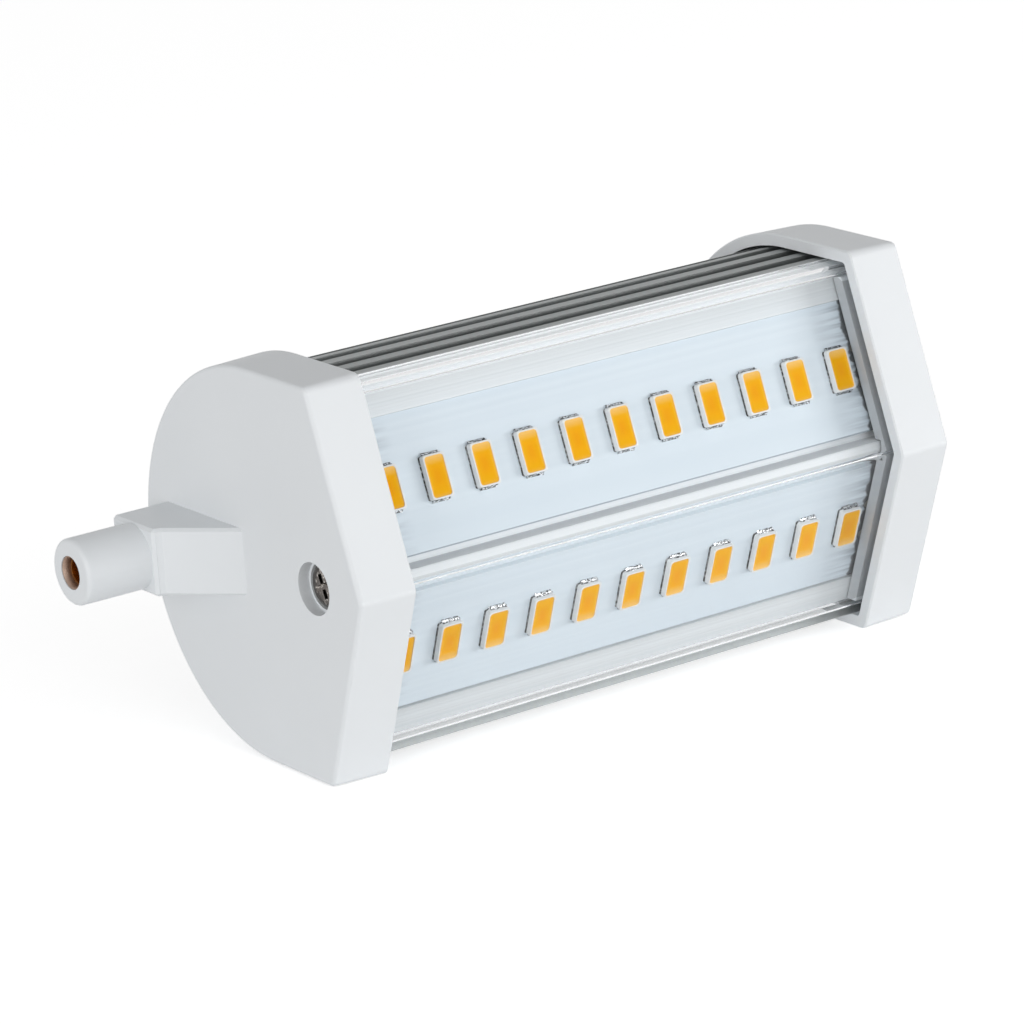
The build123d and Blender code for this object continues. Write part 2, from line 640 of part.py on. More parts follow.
# Line choke: a drum with a winding between its flanges
with BuildPart() as choke:
    for base, height, radius in (
        (0, CHOKE_FLANGE, CHOKE_RADIUS),
        (CHOKE_FLANGE, CHOKE_HEIGHT - 2 * CHOKE_FLANGE, CHOKE_RADIUS - CHOKE_WAIST),
        (CHOKE_HEIGHT - CHOKE_FLANGE, CHOKE_FLANGE, CHOKE_RADIUS),
    ):
        with BuildSketch(facing(DRIVER_FRONT + base)):
            with Locations((filter_start + CHOKE_RADIUS, -COMPONENT_GAP / 2 - CHOKE_RADIUS)):
                Circle(radius)
        extrude(amount=height)
keep(choke.part, "line_choke")

# Bridge rectifier and controller: moulded blocks with flat leads along two sides
for name, height, length, width, body, leads in (
    ("bridge_rectifier", COMPONENT_GAP + BRIDGE_WIDTH / 2, BRIDGE_LENGTH, BRIDGE_WIDTH, BRIDGE_HEIGHT, 2),
    ("controller_chip", -COMPONENT_GAP - CHIP_WIDTH / 2, CHIP_LENGTH, CHIP_WIDTH, CHIP_HEIGHT, 4),
):
    with BuildPart() as moulded:
        with BuildSketch(facing(DRIVER_FRONT)):
            with Locations((chip_start + length / 2, height)):
                Rectangle(length, width)
        extrude(amount=body)
        chamfer(moulded.faces().sort_by(Axis.Y)[0].edges(), CHIP_EDGE)
        with BuildSketch(facing(DRIVER_FRONT)):
            with Locations((chip_start + length / 2, height)):
                with GridLocations(length / leads, width, leads, 2):
                    Rectangle(CHIP_LEAD_WIDTH, 2 * CHIP_LEAD_REACH)
        extrude(amount=CHIP_LEAD_HEIGHT)
    keep(moulded.part, name)

# Electrolytic capacitors
for name, start, radius, height in (
    ("input_capacitor", input_can_start, INPUT_CAN_RADIUS, INPUT_CAN_HEIGHT),
    ("output_capacitor", output_can_start, OUTPUT_CAN_RADIUS, OUTPUT_CAN_HEIGHT),
):
    with BuildPart() as can:
        with BuildSketch(facing(DRIVER_FRONT)):
            with Locations((start + radius, 0)):
                Circle(radius)
        extrude(amount=height)
        chamfer(can.faces().sort_by(Axis.Y)[0].edges(), CAN_EDGE)
        with BuildSketch(facing(DRIVER_FRONT + CAN_GROOVE_HEIGHT)):
            with Locations((start + radius, 0)):
                Circle(radius)
                Circle(radius - CAN_GROOVE, mode=Mode.SUBTRACT)
        extrude(amount=2 * CAN_GROOVE, mode=Mode.SUBTRACT)
    keep(can.part, name)

# Transformer: a winding on the middle leg of a two-window core
core_x = core_start + CORE_LENGTH / 2
window_length = (CORE_LENGTH - CORE_LEG) / 2 - CORE_YOKE
window_height = CORE_WIDTH - 2 * CORE_YOKE
with BuildPart() as core:
    with BuildSketch(facing(DRIVER_FRONT + WINDING_WALL + WINDING_GAP)):
        with Locations((core_x, 0)):
            Rectangle(CORE_LENGTH, CORE_WIDTH)
            with GridLocations(CORE_LEG + window_length, 0, 2, 1):
                Rectangle(window_length, window_height, mode=Mode.SUBTRACT)
    extrude(amount=CORE_HEIGHT)
keep(core.part, "transformer_core")
with BuildPart() as winding:
    with BuildSketch(lying(0)):
        with Locations((core_x, DRIVER_FRONT + WINDING_HEIGHT / 2)):
            Rectangle(CORE_LEG + 2 * (WINDING_WALL + WINDING_GAP), WINDING_HEIGHT)
            Rectangle(CORE_LEG + 2 * WINDING_GAP, CORE_HEIGHT + 2 * WINDING_GAP, mode=Mode.SUBTRACT)
    extrude(amount=window_height / 2 - WINDING_GAP, both=True)
keep(winding.part, "transformer_winding")

# Mains wires: from each contact's shank into the chamber, then forward to the driver board
with BuildPart() as wire:
    with BuildLine(lying(0)) as route:
        FilletPolyline(
            (-SHANK_END, 0),
            (-WIRE_X, 0),
            (-WIRE_X, DRIVER_BACK),
            radius=WIRE_BEND,
        )
    with BuildSketch(Plane(origin=route.line @ 0, z_dir=route.line % 0)):
        Circle(WIRE_RADIUS)
    sweep()
keep_pair(wire.part, "mains_wire")
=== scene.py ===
"""Looks of a double-ended linear LED lamp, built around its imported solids.

Each sub-assembly is a class that holds its sizes and builds or dresses its own pieces. Pieces are
shaped at a thousand times their size, so one unit is a millimetre at the bench, and are then set
into the lamp's frame in metres: X along the lamp, the lit front towards -Y and Z up. Finishes
give their lengths in metres too, because their patterns lie in the lamp's frame.
"""

import logging
import math
from dataclasses import dataclass
from enum import Enum
from functools import cached_property
from typing import Callable, Union

import bmesh
import bpy
from mathutils import Matrix, Vector


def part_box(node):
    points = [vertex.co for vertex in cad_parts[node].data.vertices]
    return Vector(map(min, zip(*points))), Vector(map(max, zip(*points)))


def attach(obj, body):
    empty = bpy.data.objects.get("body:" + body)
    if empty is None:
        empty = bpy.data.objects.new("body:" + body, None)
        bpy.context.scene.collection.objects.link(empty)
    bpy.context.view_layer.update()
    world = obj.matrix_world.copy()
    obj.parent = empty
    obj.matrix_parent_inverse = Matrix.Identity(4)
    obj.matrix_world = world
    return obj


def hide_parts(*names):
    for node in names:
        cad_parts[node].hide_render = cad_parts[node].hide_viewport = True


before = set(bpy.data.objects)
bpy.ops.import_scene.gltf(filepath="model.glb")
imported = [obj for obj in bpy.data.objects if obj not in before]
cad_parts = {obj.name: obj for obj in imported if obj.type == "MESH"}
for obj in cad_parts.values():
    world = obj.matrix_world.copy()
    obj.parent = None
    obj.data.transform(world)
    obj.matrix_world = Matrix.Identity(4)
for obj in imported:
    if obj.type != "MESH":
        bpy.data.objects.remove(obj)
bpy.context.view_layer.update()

log = logging.getLogger("lamp")

Colour = tuple[float, float, float]
Span = tuple[float, float]
Ramp = tuple[Span, Span]
Socket = bpy.types.NodeSocket
Source = Union[float, tuple, Socket]
Test = Callable[[Vector, Vector], bool]

ROOT = "root"

# The bench's millimetre in metres, and the ways from and to the bench
MM = 0.001
FROM_BENCH = Matrix.Scale(MM, 4)
TO_BENCH = Matrix.Scale(1 / MM, 4)

# The lamp's cross-section, in metres
FRONT_LEAN = math.radians(19.6)
RIDGE_Y = -0.022275
BACK_CENTRE_Y = -0.001425
MIDDLE_Z = 0.0237

# Cosine from which a face or an edge follows a direction, and bench distance that counts as none
FOLLOWS = 0.9
CLOSE = 0.01

# Span of a share, and the part of a noise's span that matters
WHOLE = (0.0, 1.0)
GRAIN_SPAN = (0.3, 0.7)
WHITE = (1.0, 1.0, 1.0)

# Octaves of plain, fine and ragged noise
PLAIN = 2.0
FINE = 3.0
RAGGED = 6.0

# A filling's own place in its cup, from -1 to 1
CUP_ACROSS = "cup_across"
CUP_OUTWARD = "cup_outward"


def axes(x: Vector, y: Vector, z: Vector) -> Matrix:
    """Turn that carries the three axes onto these directions."""
    return Matrix((x, y, z)).transposed().to_4x4()


class Side(Enum):
    """One of two opposite sides of the lamp, whose value is the sign of its direction."""

    @property
    def label(self) -> str:
        """Word that the names of the side's solids begin with."""
        return self.name.lower()


class Row(Side):
    """The two rows of LEDs, above and below the ridge."""

    UPPER = 1
    LOWER = -1

    def outward(self) -> Vector:
        """Direction in the plane of the row's board, away from the ridge."""
        return Vector((0.0, math.sin(FRONT_LEAN), self.value * math.cos(FRONT_LEAN)))

    def normal(self) -> Vector:
        """Direction in which the row's board faces."""
        return Vector((0.0, -math.cos(FRONT_LEAN), self.value * math.sin(FRONT_LEAN)))

    def matrix(self, base: Vector) -> Matrix:
        """Turns bench millimetres into the row's place on its board.

        Args:
            base: Point on the board's surface, in metres.

        Returns:
            A matrix with X along the lamp, Y away from the ridge and Z off the board.
        """
        along = Vector((self.value, 0.0, 0.0))
        turn = axes(along, self.outward(), self.normal())
        return Matrix.Translation(base) @ turn @ FROM_BENCH


class End(Side):
    """The two ends of the lamp, on each side of its middle."""

    LEFT = -1
    RIGHT = 1

    def matrix(self, tip: Vector) -> Matrix:
        """Turns bench millimetres into an end's place, with bench Z pointing out of the lamp.

        Args:
            tip: Outermost point of the piece on its own axis, in metres.

        Returns:
            A matrix whose origin is the tip.
        """
        outward = Vector((self.value, 0.0, 0.0))
        up = Vector((0.0, 0.0, 1.0))
        return Matrix.Translation(tip) @ axes(up.cross(outward), up, outward) @ FROM_BENCH


class Sheet:
    """A node tree that is being filled, with one call for each step."""

    def __init__(self, tree: bpy.types.NodeTree) -> None:
        """Takes the tree to fill."""
        self.tree = tree

    @classmethod
    def of(cls, owner: Union[bpy.types.Material, bpy.types.World]) -> "Sheet":
        """Starts the tree of a material or a world afresh.

        Args:
            owner: The material or the world.

        Returns:
            Its sheet, with no node on it.
        """
        owner.use_nodes = True
        owner.node_tree.nodes.clear()
        return cls(owner.node_tree)

    def feed(self, socket: Socket, source: Source) -> None:
        """Joins a socket to another one, or sets its value.

        Args:
            socket: The socket that is fed.
            source: Another socket, a number, a vector or a colour.
        """
        if isinstance(source, Socket):
            self.tree.links.new(source, socket)
        elif socket.type == "RGBA":
            socket.default_value = (*source, 1.0)
        else:
            socket.default_value = source

    def node(self, kind: str, inputs: dict | None = None, **settings: object) -> bpy.types.Node:
        """Adds a node.

        Args:
            kind: Blender's name for the node's type.
            inputs: Values or sockets for its inputs, by name or number.
            settings: Properties of the node itself.

        Returns:
            The new node.
        """
        made = self.tree.nodes.new(kind)
        for key, value in settings.items():
            setattr(made, key, value)
        for key, source in (inputs or {}).items():
            self.feed(made.inputs[key], source)
        return made

    def place(self) -> Socket:
        """Position in the lamp's frame."""
        return self.node("ShaderNodeTexCoord").outputs["Object"]

    def part(self, vector: Source, axis: str) -> Socket:
        """One coordinate of a vector."""
        return self.node("ShaderNodeSeparateXYZ", {0: vector}).outputs[axis]

    def maths(self, operation: str, first: Source, second: Source = 0.0) -> Socket:
        """Result of a Math node on one or two values."""
        return self.node("ShaderNodeMath", {0: first, 1: second}, operation=operation).outputs[0]

    def times(self, first: Source, second: Source) -> Socket:
        """Product of two values."""
        return self.maths("MULTIPLY", first, second)

    def most(self, first: Source, second: Source) -> Socket:
        """Larger of two values."""
        return self.maths("MAXIMUM", first, second)

    def within(self, value: Source, span: Span) -> Socket:
        """1 where a value lies inside a span, and 0 elsewhere."""
        above = self.maths("GREATER_THAN", value, span[0])
        return self.times(above, self.maths("LESS_THAN", value, span[1]))

    def spread(self, value: Source, span: Span, onto: Span = WHOLE) -> Socket:
        """Value moved from one span onto another and held inside it.

        Args:
            value: What is moved.
            span: Lowest and highest value that count.
            onto: What those two become.

        Returns:
            The moved value.
        """
        inputs = {0: value, 1: span[0], 2: span[1], 3: onto[0], 4: onto[1]}
        return self.node("ShaderNodeMapRange", inputs).outputs[0]

    def passing(self, value: Source, mark: float, blur: float) -> Socket:
        """Soft step from 0 to 1 where a value passes a mark."""
        return self.spread(value, (mark - blur, mark + blur))

    def between(self, share: Source, first: Source, second: Source) -> Socket:
        """Number between two numbers."""
        # The Mix node's inputs for numbers and for colours share their names, so they go by number
        return self.node("ShaderNodeMix", {0: share, 2: first, 3: second}).outputs[0]

    def blend(self, share: Source, first: Source, second: Source) -> Socket:
        """Colour between two colours."""
        inputs = {0: share, 6: first, 7: second}
        return self.node("ShaderNodeMix", inputs, data_type="RGBA").outputs[2]

    def mix(self, share: Source, first: bpy.types.Node, second: bpy.types.Node) -> bpy.types.Node:
        """Shader between two shaders."""
        inputs = {0: share, 1: first.outputs[0], 2: second.outputs[0]}
        return self.node("ShaderNodeMixShader", inputs)

    def stretch(self, vector: Source, scale: tuple) -> Socket:
        """Vector with each coordinate scaled by its own factor."""
        return self.node("ShaderNodeMapping", {"Vector": vector, "Scale": scale}).outputs[0]

    def noise(self, vector: Source, scale: Source, detail: float = PLAIN) -> Socket:
        """Smooth noise between 0 and 1."""
        inputs = {"Vector": vector, "Scale": scale, "Detail": detail}
        return self.node("ShaderNodeTexNoise", inputs).outputs[0]

    def relief(self, height: Source, distance: float) -> Socket:
        """Normal of a surface with a fine relief of that height."""
        return self.node("ShaderNodeBump", {"Height": height, "Distance": distance}).outputs[0]


class Section:
    """Where a point lies in the lamp's cross-section; each value is wired on its first use."""

    def __init__(self, sheet: Sheet) -> None:
        """Takes the material's sheet."""
        self.sheet = sheet
        self.place = sheet.place()

    @cached_property
    def out(self) -> Socket:
        """Distance along the lamp from its middle."""
        return self.sheet.maths("ABSOLUTE", self.sheet.part(self.place, "X"))

    @cached_property
    def height(self) -> Socket:
        """Height over the ridge, below 0 under it."""
        return self.sheet.maths("SUBTRACT", self.sheet.part(self.place, "Z"), MIDDLE_Z)

    @cached_property
    def rise(self) -> Socket:
        """Distance from the ridge, up or down."""
        return self.sheet.maths("ABSOLUTE", self.height)

    @cached_property
    def behind(self) -> Socket:
        """Distance behind the centre of the round back, below 0 in front of it."""
        return self.sheet.maths("SUBTRACT", self.sheet.part(self.place, "Y"), BACK_CENTRE_Y)

    @cached_property
    def depth(self) -> Socket:
        """Distance behind the leaning front, square to it.

        Returns:
            The distance, in metres.
        """
        from_ridge = self.sheet.maths("ADD", self.behind, BACK_CENTRE_Y - RIDGE_Y)
        straight = self.sheet.times(from_ridge, math.cos(FRONT_LEAN))
        return self.sheet.maths("SUBTRACT", straight, self.sheet.times(self.rise, math.sin(FRONT_LEAN)))

    @cached_property
    def radius(self) -> Socket:
        """Distance from the centre of the round back."""
        squares = (self.sheet.times(value, value) for value in (self.behind, self.rise))
        return self.sheet.maths("SQRT", self.sheet.maths("ADD", *squares))


class Effect:
    """A shared effect: a shader node group with named inputs and outputs, built once."""

    name: str = "effect"
    outputs: tuple[str, ...] = ()

    @classmethod
    def tree(cls) -> bpy.types.NodeTree:
        """Builds the group on its first use.

        Returns:
            The group.
        """
        found = bpy.data.node_groups.get(cls.name)
        if found is not None:
            return found
        made = bpy.data.node_groups.new(cls.name, "ShaderNodeTree")
        made.interface.new_socket(name="Place", in_out="INPUT", socket_type="NodeSocketVector")
        made.interface.new_socket(name="Fineness", in_out="INPUT", socket_type="NodeSocketFloat")
        for output in cls.outputs:
            made.interface.new_socket(name=output, in_out="OUTPUT", socket_type="NodeSocketFloat")
        sheet = Sheet(made)
        start = sheet.node("NodeGroupInput")
        results = cls.wire(sheet, start.outputs["Place"], start.outputs["Fineness"])
        sheet.node("NodeGroupOutput", dict(zip(cls.outputs, results)))
        return made

    @classmethod
    def wire(cls, sheet: Sheet, place: Source, fineness: Source) -> tuple:
        """Builds the effect's nodes.

        Args:
            sheet: The group's sheet.
            place: Position in the lamp's frame.
            fineness: Grains or lines per metre.

        Returns:
            One socket for each output.
        """
        raise NotImplementedError

    @classmethod
    def placed(cls, sheet: Sheet, fineness: float) -> tuple:
        """Places the effect in a material with its own fineness.

        Args:
            sheet: The material's sheet.
            fineness: Grains or lines per metre.

        Returns:
            One socket for each output.
        """
        inputs = {"Place": sheet.place(), "Fineness": fineness}
        made = sheet.node("ShaderNodeGroup", inputs, node_tree=cls.tree())
        return tuple(made.outputs[output] for output in cls.outputs)


class MouldGrain(Effect):
    """Fine grain of a moulding tool, with a slow drift over the surface."""

    name = "mould_grain"
    outputs = ("Grain", "Drift")
    fine_share: float = 0.6
    coarse_share: float = 0.4
    coarse_scale: float = 0.22
    drift_scale: float = 0.02

    @classmethod
    def wire(cls, sheet: Sheet, place: Source, fineness: Source) -> tuple:
        """Adds a fine and a coarser noise for the grain, and a slow one for the drift.

        Args:
            sheet: The group's sheet.
            place: Position in the lamp's frame.
            fineness: Grains per metre.

        Returns:
            The grain and the drift.
        """
        fine = sheet.noise(place, fineness, detail=FINE)
        coarse = sheet.noise(place, sheet.times(fineness, cls.coarse_scale))
        drift = sheet.noise(place, sheet.times(fineness, cls.drift_scale), detail=FINE)
        shares = sheet.times(fine, cls.fine_share), sheet.times(coarse, cls.coarse_share)
        return sheet.maths("ADD", *shares), sheet.spread(drift, GRAIN_SPAN)


class DrawnLines(Effect):
    """Lines that an extrusion die leaves along the lamp, and their streaks with broader bands."""

    name = "drawn_lines"
    outputs = ("Lines", "Streak")
    drawn_out: tuple = (0.0008, 1.0, 1.0)
    band_scale: float = 0.17
    line_span: Span = (0.25, 0.75)
    streak_span: Span = (0.2, 0.8)

    @classmethod
    def wire(cls, sheet: Sheet, place: Source, fineness: Source) -> tuple:
        """Stretches noise along the lamp at two finenesses.

        Args:
            sheet: The group's sheet.
            place: Position in the lamp's frame.
            fineness: Lines per metre.

        Returns:
            The fine lines, and the streaks halfway between them and the bands.
        """
        drawn = sheet.stretch(place, cls.drawn_out)
        lines = sheet.spread(sheet.noise(drawn, fineness, detail=FINE), cls.line_span)
        bands = sheet.noise(drawn, sheet.times(fineness, cls.band_scale))
        halfway = sheet.times(sheet.maths("ADD", lines, sheet.spread(bands, GRAIN_SPAN)), 0.5)
        return lines, sheet.spread(halfway, cls.streak_span)


@dataclass(frozen=True)
class Finish:
    """A grained finish: its colour drifts, and its gloss and relief follow the grain."""

    name: str
    colour: Colour
    drift: Colour
    gloss: Span = (0.4, 0.5)
    fineness: float = 2500.0
    depth: float = 4e-6
    metallic: float = 0.0

    def material(self) -> bpy.types.Material:
        """Builds the finish's material on its first use.

        Returns:
            The material.
        """
        found = bpy.data.materials.get(self.name)
        if found is not None and found.get("finished"):
            return found
        if found is not None:
            found.name = self.name + "_packed"
        made = bpy.data.materials.new(self.name)
        made["finished"] = True
        sheet = Sheet.of(made)
        inputs = {"Metallic": self.metallic, **self.surface(sheet)}
        shader = sheet.node("ShaderNodeBsdfPrincipled", inputs)
        sheet.node("ShaderNodeOutputMaterial", {"Surface": self.cover(sheet, shader).outputs[0]})
        return made

    def surface(self, sheet: Sheet) -> dict[str, Source]:
        """Wires the colour, gloss and relief.

        Args:
            sheet: The material's sheet.

        Returns:
            What goes into the Principled node, by input.
        """
        grain, drift = MouldGrain.placed(sheet, self.fineness)
        return {
            "Base Color": sheet.blend(drift, self.colour, self.drift),
            "Roughness": sheet.spread(grain, GRAIN_SPAN, self.gloss),
            "Normal": sheet.relief(grain, self.depth),
        }

    def cover(self, sheet: Sheet, shader: bpy.types.Node) -> bpy.types.Node:
        """Returns the shader that goes to the material's output."""
        return shader


@dataclass(frozen=True)
class CapFinish(Finish):
    """White moulding with painted shade inside the cap, where the cover and the boards run in."""

    # Painted shade inside the cap: the share of colour kept near the mouth and deep inside, and the share
    # left where it is darkest
    dull: float = 0.6
    deep: float = 0.95
    shadow: float = 0.1
    wall: float = 0.0017
    back_radius: float = 0.0222
    inside: Span = (0.0366, 0.0378)
    floor: float = 0.041

    def surface(self, sheet: Sheet) -> dict[str, Source]:
        """Wires the grain, and paints shade on what lies inside the wall, most of all near the cap's mouth.

        Args:
            sheet: The material's sheet.

        Returns:
            What goes into the Principled node, by input.
        """
        inputs = super().surface(sheet)
        section = Section(sheet)
        # Painted shade on the tongue and the slot inside the cap's wall, darkest near the mouth
        held = sheet.times(sheet.maths("GREATER_THAN", section.depth, self.wall),
                           sheet.maths("LESS_THAN", section.radius, self.back_radius))
        held = sheet.times(held, sheet.maths("LESS_THAN", section.out, self.floor))
        shade = sheet.spread(section.out, self.inside, (self.dull, self.deep))
        loss = sheet.times(held, sheet.maths("SUBTRACT", 1.0, shade))
        share = sheet.maths("SUBTRACT", 1.0, loss)
        dark = tuple(self.shadow * value for value in self.colour)
        return {**inputs, "Base Color": sheet.blend(share, dark, inputs["Base Color"])}


@dataclass(frozen=True)
class SpeckledFinish(Finish):
    """A finish spotted with specks of a second colour, as flux and thinned plating are; the solder's dark
    specks are painted dark reflections.
    """

    speck: float = 4000.0
    clean: float = 0.5
    blur: float = 0.06

    def surface(self, sheet: Sheet) -> dict[str, Source]:
        """Wires specks of the second colour into the first, with a relief of the same specks.

        Args:
            sheet: The material's sheet.

        Returns:
            What goes into the Principled node, by input.
        """
        grain, _ = MouldGrain.placed(sheet, self.fineness)
        specks = sheet.noise(sheet.place(), self.speck)
        share = sheet.passing(specks, self.clean, self.blur)
        return {
            "Base Color": sheet.blend(share, self.colour, self.drift),
            "Roughness": sheet.spread(grain, GRAIN_SPAN, self.gloss),
            "Normal": sheet.relief(specks, self.depth),
        }


@dataclass(frozen=True)
class DrawnFinish(Finish):
    """Bare extruded metal with die lines, lighter and satin in front and darker on the back, with painted
    shade in the hollows between the fins and painted light in the recess behind the cover.
    """

    back: Colour = (0.335, 0.35, 0.35)
    back_drift: Colour = (0.265, 0.28, 0.28)
    # Painted shade in the hollows between the fins, inside this span of radius
    hollow: Colour = (0.09, 0.098, 0.098)
    hollow_radius: Span = (0.0202, 0.0214)
    # Painted light on the recess behind the cover, where little light gets in, and painted shade on its
    # channels' floors; the rib's front gets a share of the same painted light
    recess: Colour = (0.985, 0.99, 0.99)
    recess_depth: float = 0.00455
    recess_rise: float = 0.01705
    channel: Span = (0.0009, 0.00195)
    channel_dull: float = 0.75
    rib_half: float = 0.00092
    rib_painted_light: float = 0.2
    satin: float = 0.3
    satin_gloss: Span = (0.6, 0.75)
    # Split between the front and the back; it leans so that more of the lower side takes the darker back
    # colour, which is painted shade
    front_edge: float = -0.0078
    edge_blur: float = 0.0003
    edge_lean: float = 0.021

    def surface(self, sheet: Sheet) -> dict[str, Source]:
        """Wires die lines into the colour, gloss and relief, and paints shade into the grooves of the back
        and light into the recess behind the cover.

        Args:
            sheet: The material's sheet.

        Returns:
            What goes into the Principled node, by input.
        """
        section = Section(sheet)
        lines, streak = DrawnLines.placed(sheet, self.fineness)
        bare = sheet.blend(streak, self.colour, self.drift)
        # Painted light in the recess behind the cover, with painted shade on the channels' floors
        bare = sheet.blend(self.painted_light_share(sheet, section), bare, self.recess)
        tips = sheet.blend(streak, self.back, self.back_drift)
        # Painted shade in the hollows between the fins
        sunk = sheet.spread(section.radius, self.hollow_radius, (1.0, 0.0))
        finned = sheet.blend(sunk, tips, self.hollow)
        # The lean puts more of the lower side on the darker back colour: painted shade
        edge = sheet.maths("SUBTRACT", section.behind, sheet.times(section.height, self.edge_lean))
        behind = sheet.spread(edge, (self.front_edge, self.front_edge + self.edge_blur))
        satin, back = (sheet.spread(lines, WHOLE, gloss) for gloss in (self.satin_gloss, self.gloss))
        return {
            "Base Color": sheet.blend(behind, bare, finned),
            "Metallic": sheet.spread(behind, WHOLE, (self.satin, self.metallic)),
            "Roughness": sheet.between(behind, satin, back),
            "Normal": sheet.relief(lines, self.depth),
        }

    def painted_light_share(self, sheet: Sheet, section: Section) -> Socket:
        """Finds the painted light: the recess behind the cover, with painted shade on its channels' floors,
        and a little on the rib's front.

        Args:
            sheet: The material's sheet.
            section: Values of the cross-section on that sheet.

        Returns:
            Share of the pale colour that is painted light.
        """
        # Painted light on the recess, less painted shade on the channels' floors, and a little painted light
        # on the rib's front
        recess = sheet.times(sheet.maths("GREATER_THAN", section.depth, self.recess_depth),
                             sheet.maths("LESS_THAN", section.rise, self.recess_rise))
        dull = sheet.times(sheet.within(section.rise, self.channel), self.channel_dull)
        recess = sheet.times(recess, sheet.maths("SUBTRACT", 1.0, dull))
        rib = sheet.maths("LESS_THAN", section.rise, self.rib_half)
        return sheet.most(recess, sheet.times(rib, self.rib_painted_light))


@dataclass(frozen=True)
class ClearFinish(Finish):
    """Clear extruded plastic with faint die lines, which lights shine through."""

    index: float = 1.49
    glint: Colour = (0.05, 0.05, 0.05)
    faint: float = 0.25
    ridge: Span = (0.0012, 0.0016)
    corner: Span = (0.0190, 0.0194)
    line_span: Span = (0.4, 1.0)
    through: Colour = (0.98, 0.985, 0.99)

    def surface(self, sheet: Sheet) -> dict[str, Source]:
        """Makes the shader clear and wires die lines into its tint, gloss and relief.

        Args:
            sheet: The material's sheet.

        Returns:
            What goes into the Principled node, by input.
        """
        lines, streak = DrawnLines.placed(sheet, self.fineness)
        return {
            "Base Color": sheet.blend(streak, self.colour, self.drift),
            "Roughness": sheet.spread(lines, self.line_span, self.gloss),
            "Normal": sheet.relief(lines, self.depth),
            "Transmission Weight": 1.0,
            "IOR": self.index,
            "Specular Tint": self.glint,
        }

    def cover(self, sheet: Sheet, shader: bpy.types.Node) -> bpy.types.Node:
        """Fades the glints on the flat walls, and lets light through to what lies behind.

        The ridge and the corners keep every glint, because light is reflected inside them.
        Light that falls, and light that was mirrored before it came here, passes straight on.

        Args:
            sheet: The material's sheet.
            shader: Its Principled node.

        Returns:
            The mixed shader.
        """
        rise = Section(sheet).rise
        flat = sheet.maths("MINIMUM", sheet.spread(rise, self.ridge, (0.0, self.faint)),
                           sheet.spread(rise, self.corner, (self.faint, 0.0)))
        bent = sheet.node("ShaderNodeBsdfRefraction", {"Color": self.through, "IOR": self.index})
        clear = sheet.node("ShaderNodeBsdfTransparent", {"Color": self.through})
        path = sheet.node("ShaderNodeLightPath").outputs
        falling = sheet.most(path["Is Shadow Ray"], path["Is Diffuse Ray"])
        mirrored = sheet.maths("SUBTRACT", path["Is Glossy Ray"], path["Is Transmission Ray"])
        return sheet.mix(sheet.most(falling, mirrored), sheet.mix(flat, shader, bent), clear)


@dataclass(frozen=True)
class BoardFinish(Finish):
    """White mask on an aluminium board with sheared ends, with painted shade towards the ends and along the
    upper board's edge by the ridge, and a ragged painted shadow at each end.
    """

    # Colour of the ragged painted shadow at each end, in the gap under the cap's tongue
    core: Colour = (0.16, 0.17, 0.18)
    # Grey of the painted shade: streaks towards both ends, where the caps shade the board, and a line along
    # the upper board's edge by the ridge
    shade_grey: Colour = (0.36, 0.41, 0.46)
    brush: Span = (0.0305, 0.0356)
    stroke: tuple = (0.06, 1.0, 1.0)
    stroke_fineness: float = 1500.0
    stroke_span: Span = (0.45, 0.7)
    # Height over the ridge up to which the upper board's edge takes the painted shade line
    inner_edge: float = 0.00203
    # Distance from the middle at which the ragged painted shadow lies
    shear: float = 0.0353
    shear_blur: float = 0.00015
    ragged: float = 0.0005
    tear: tuple = (0.1, 1.0, 1.0)
    tear_fineness: float = 700.0

    def surface(self, sheet: Sheet) -> dict[str, Source]:
        """Wires the mask's drift and orange peel, painted shade streaks towards the ends and along the upper
        board's edge, and a ragged painted shadow at each end.

        Args:
            sheet: The material's sheet.

        Returns:
            What goes into the Principled node, by input.
        """
        inputs = super().surface(sheet)
        section = Section(sheet)
        # Painted shade: streaks that darken towards both ends, where the caps shade the board
        shade_streaks = sheet.noise(sheet.stretch(section.place, self.stroke), self.stroke_fineness, detail=FINE)
        end_shade = sheet.times(sheet.spread(shade_streaks, self.stroke_span), sheet.spread(section.out, self.brush))
        mask = sheet.blend(end_shade, inputs["Base Color"], self.shade_grey)
        # Painted shade: a line along the upper board's edge by the ridge
        edge_shade = sheet.within(section.height, (0.0, self.inner_edge))
        mask = sheet.blend(edge_shade, mask, self.shade_grey)
        # Painted shadow: a ragged dark line at each end, in the gap under the cap's tongue
        waves = sheet.noise(sheet.stretch(section.place, self.tear), self.tear_fineness, detail=RAGGED)
        wander = sheet.spread(waves, GRAIN_SPAN, (-self.ragged, self.ragged))
        end_shadow_share = sheet.passing(sheet.maths("ADD", section.out, wander), self.shear, self.shear_blur)
        return {**inputs, "Base Color": sheet.blend(end_shadow_share, mask, self.core)}


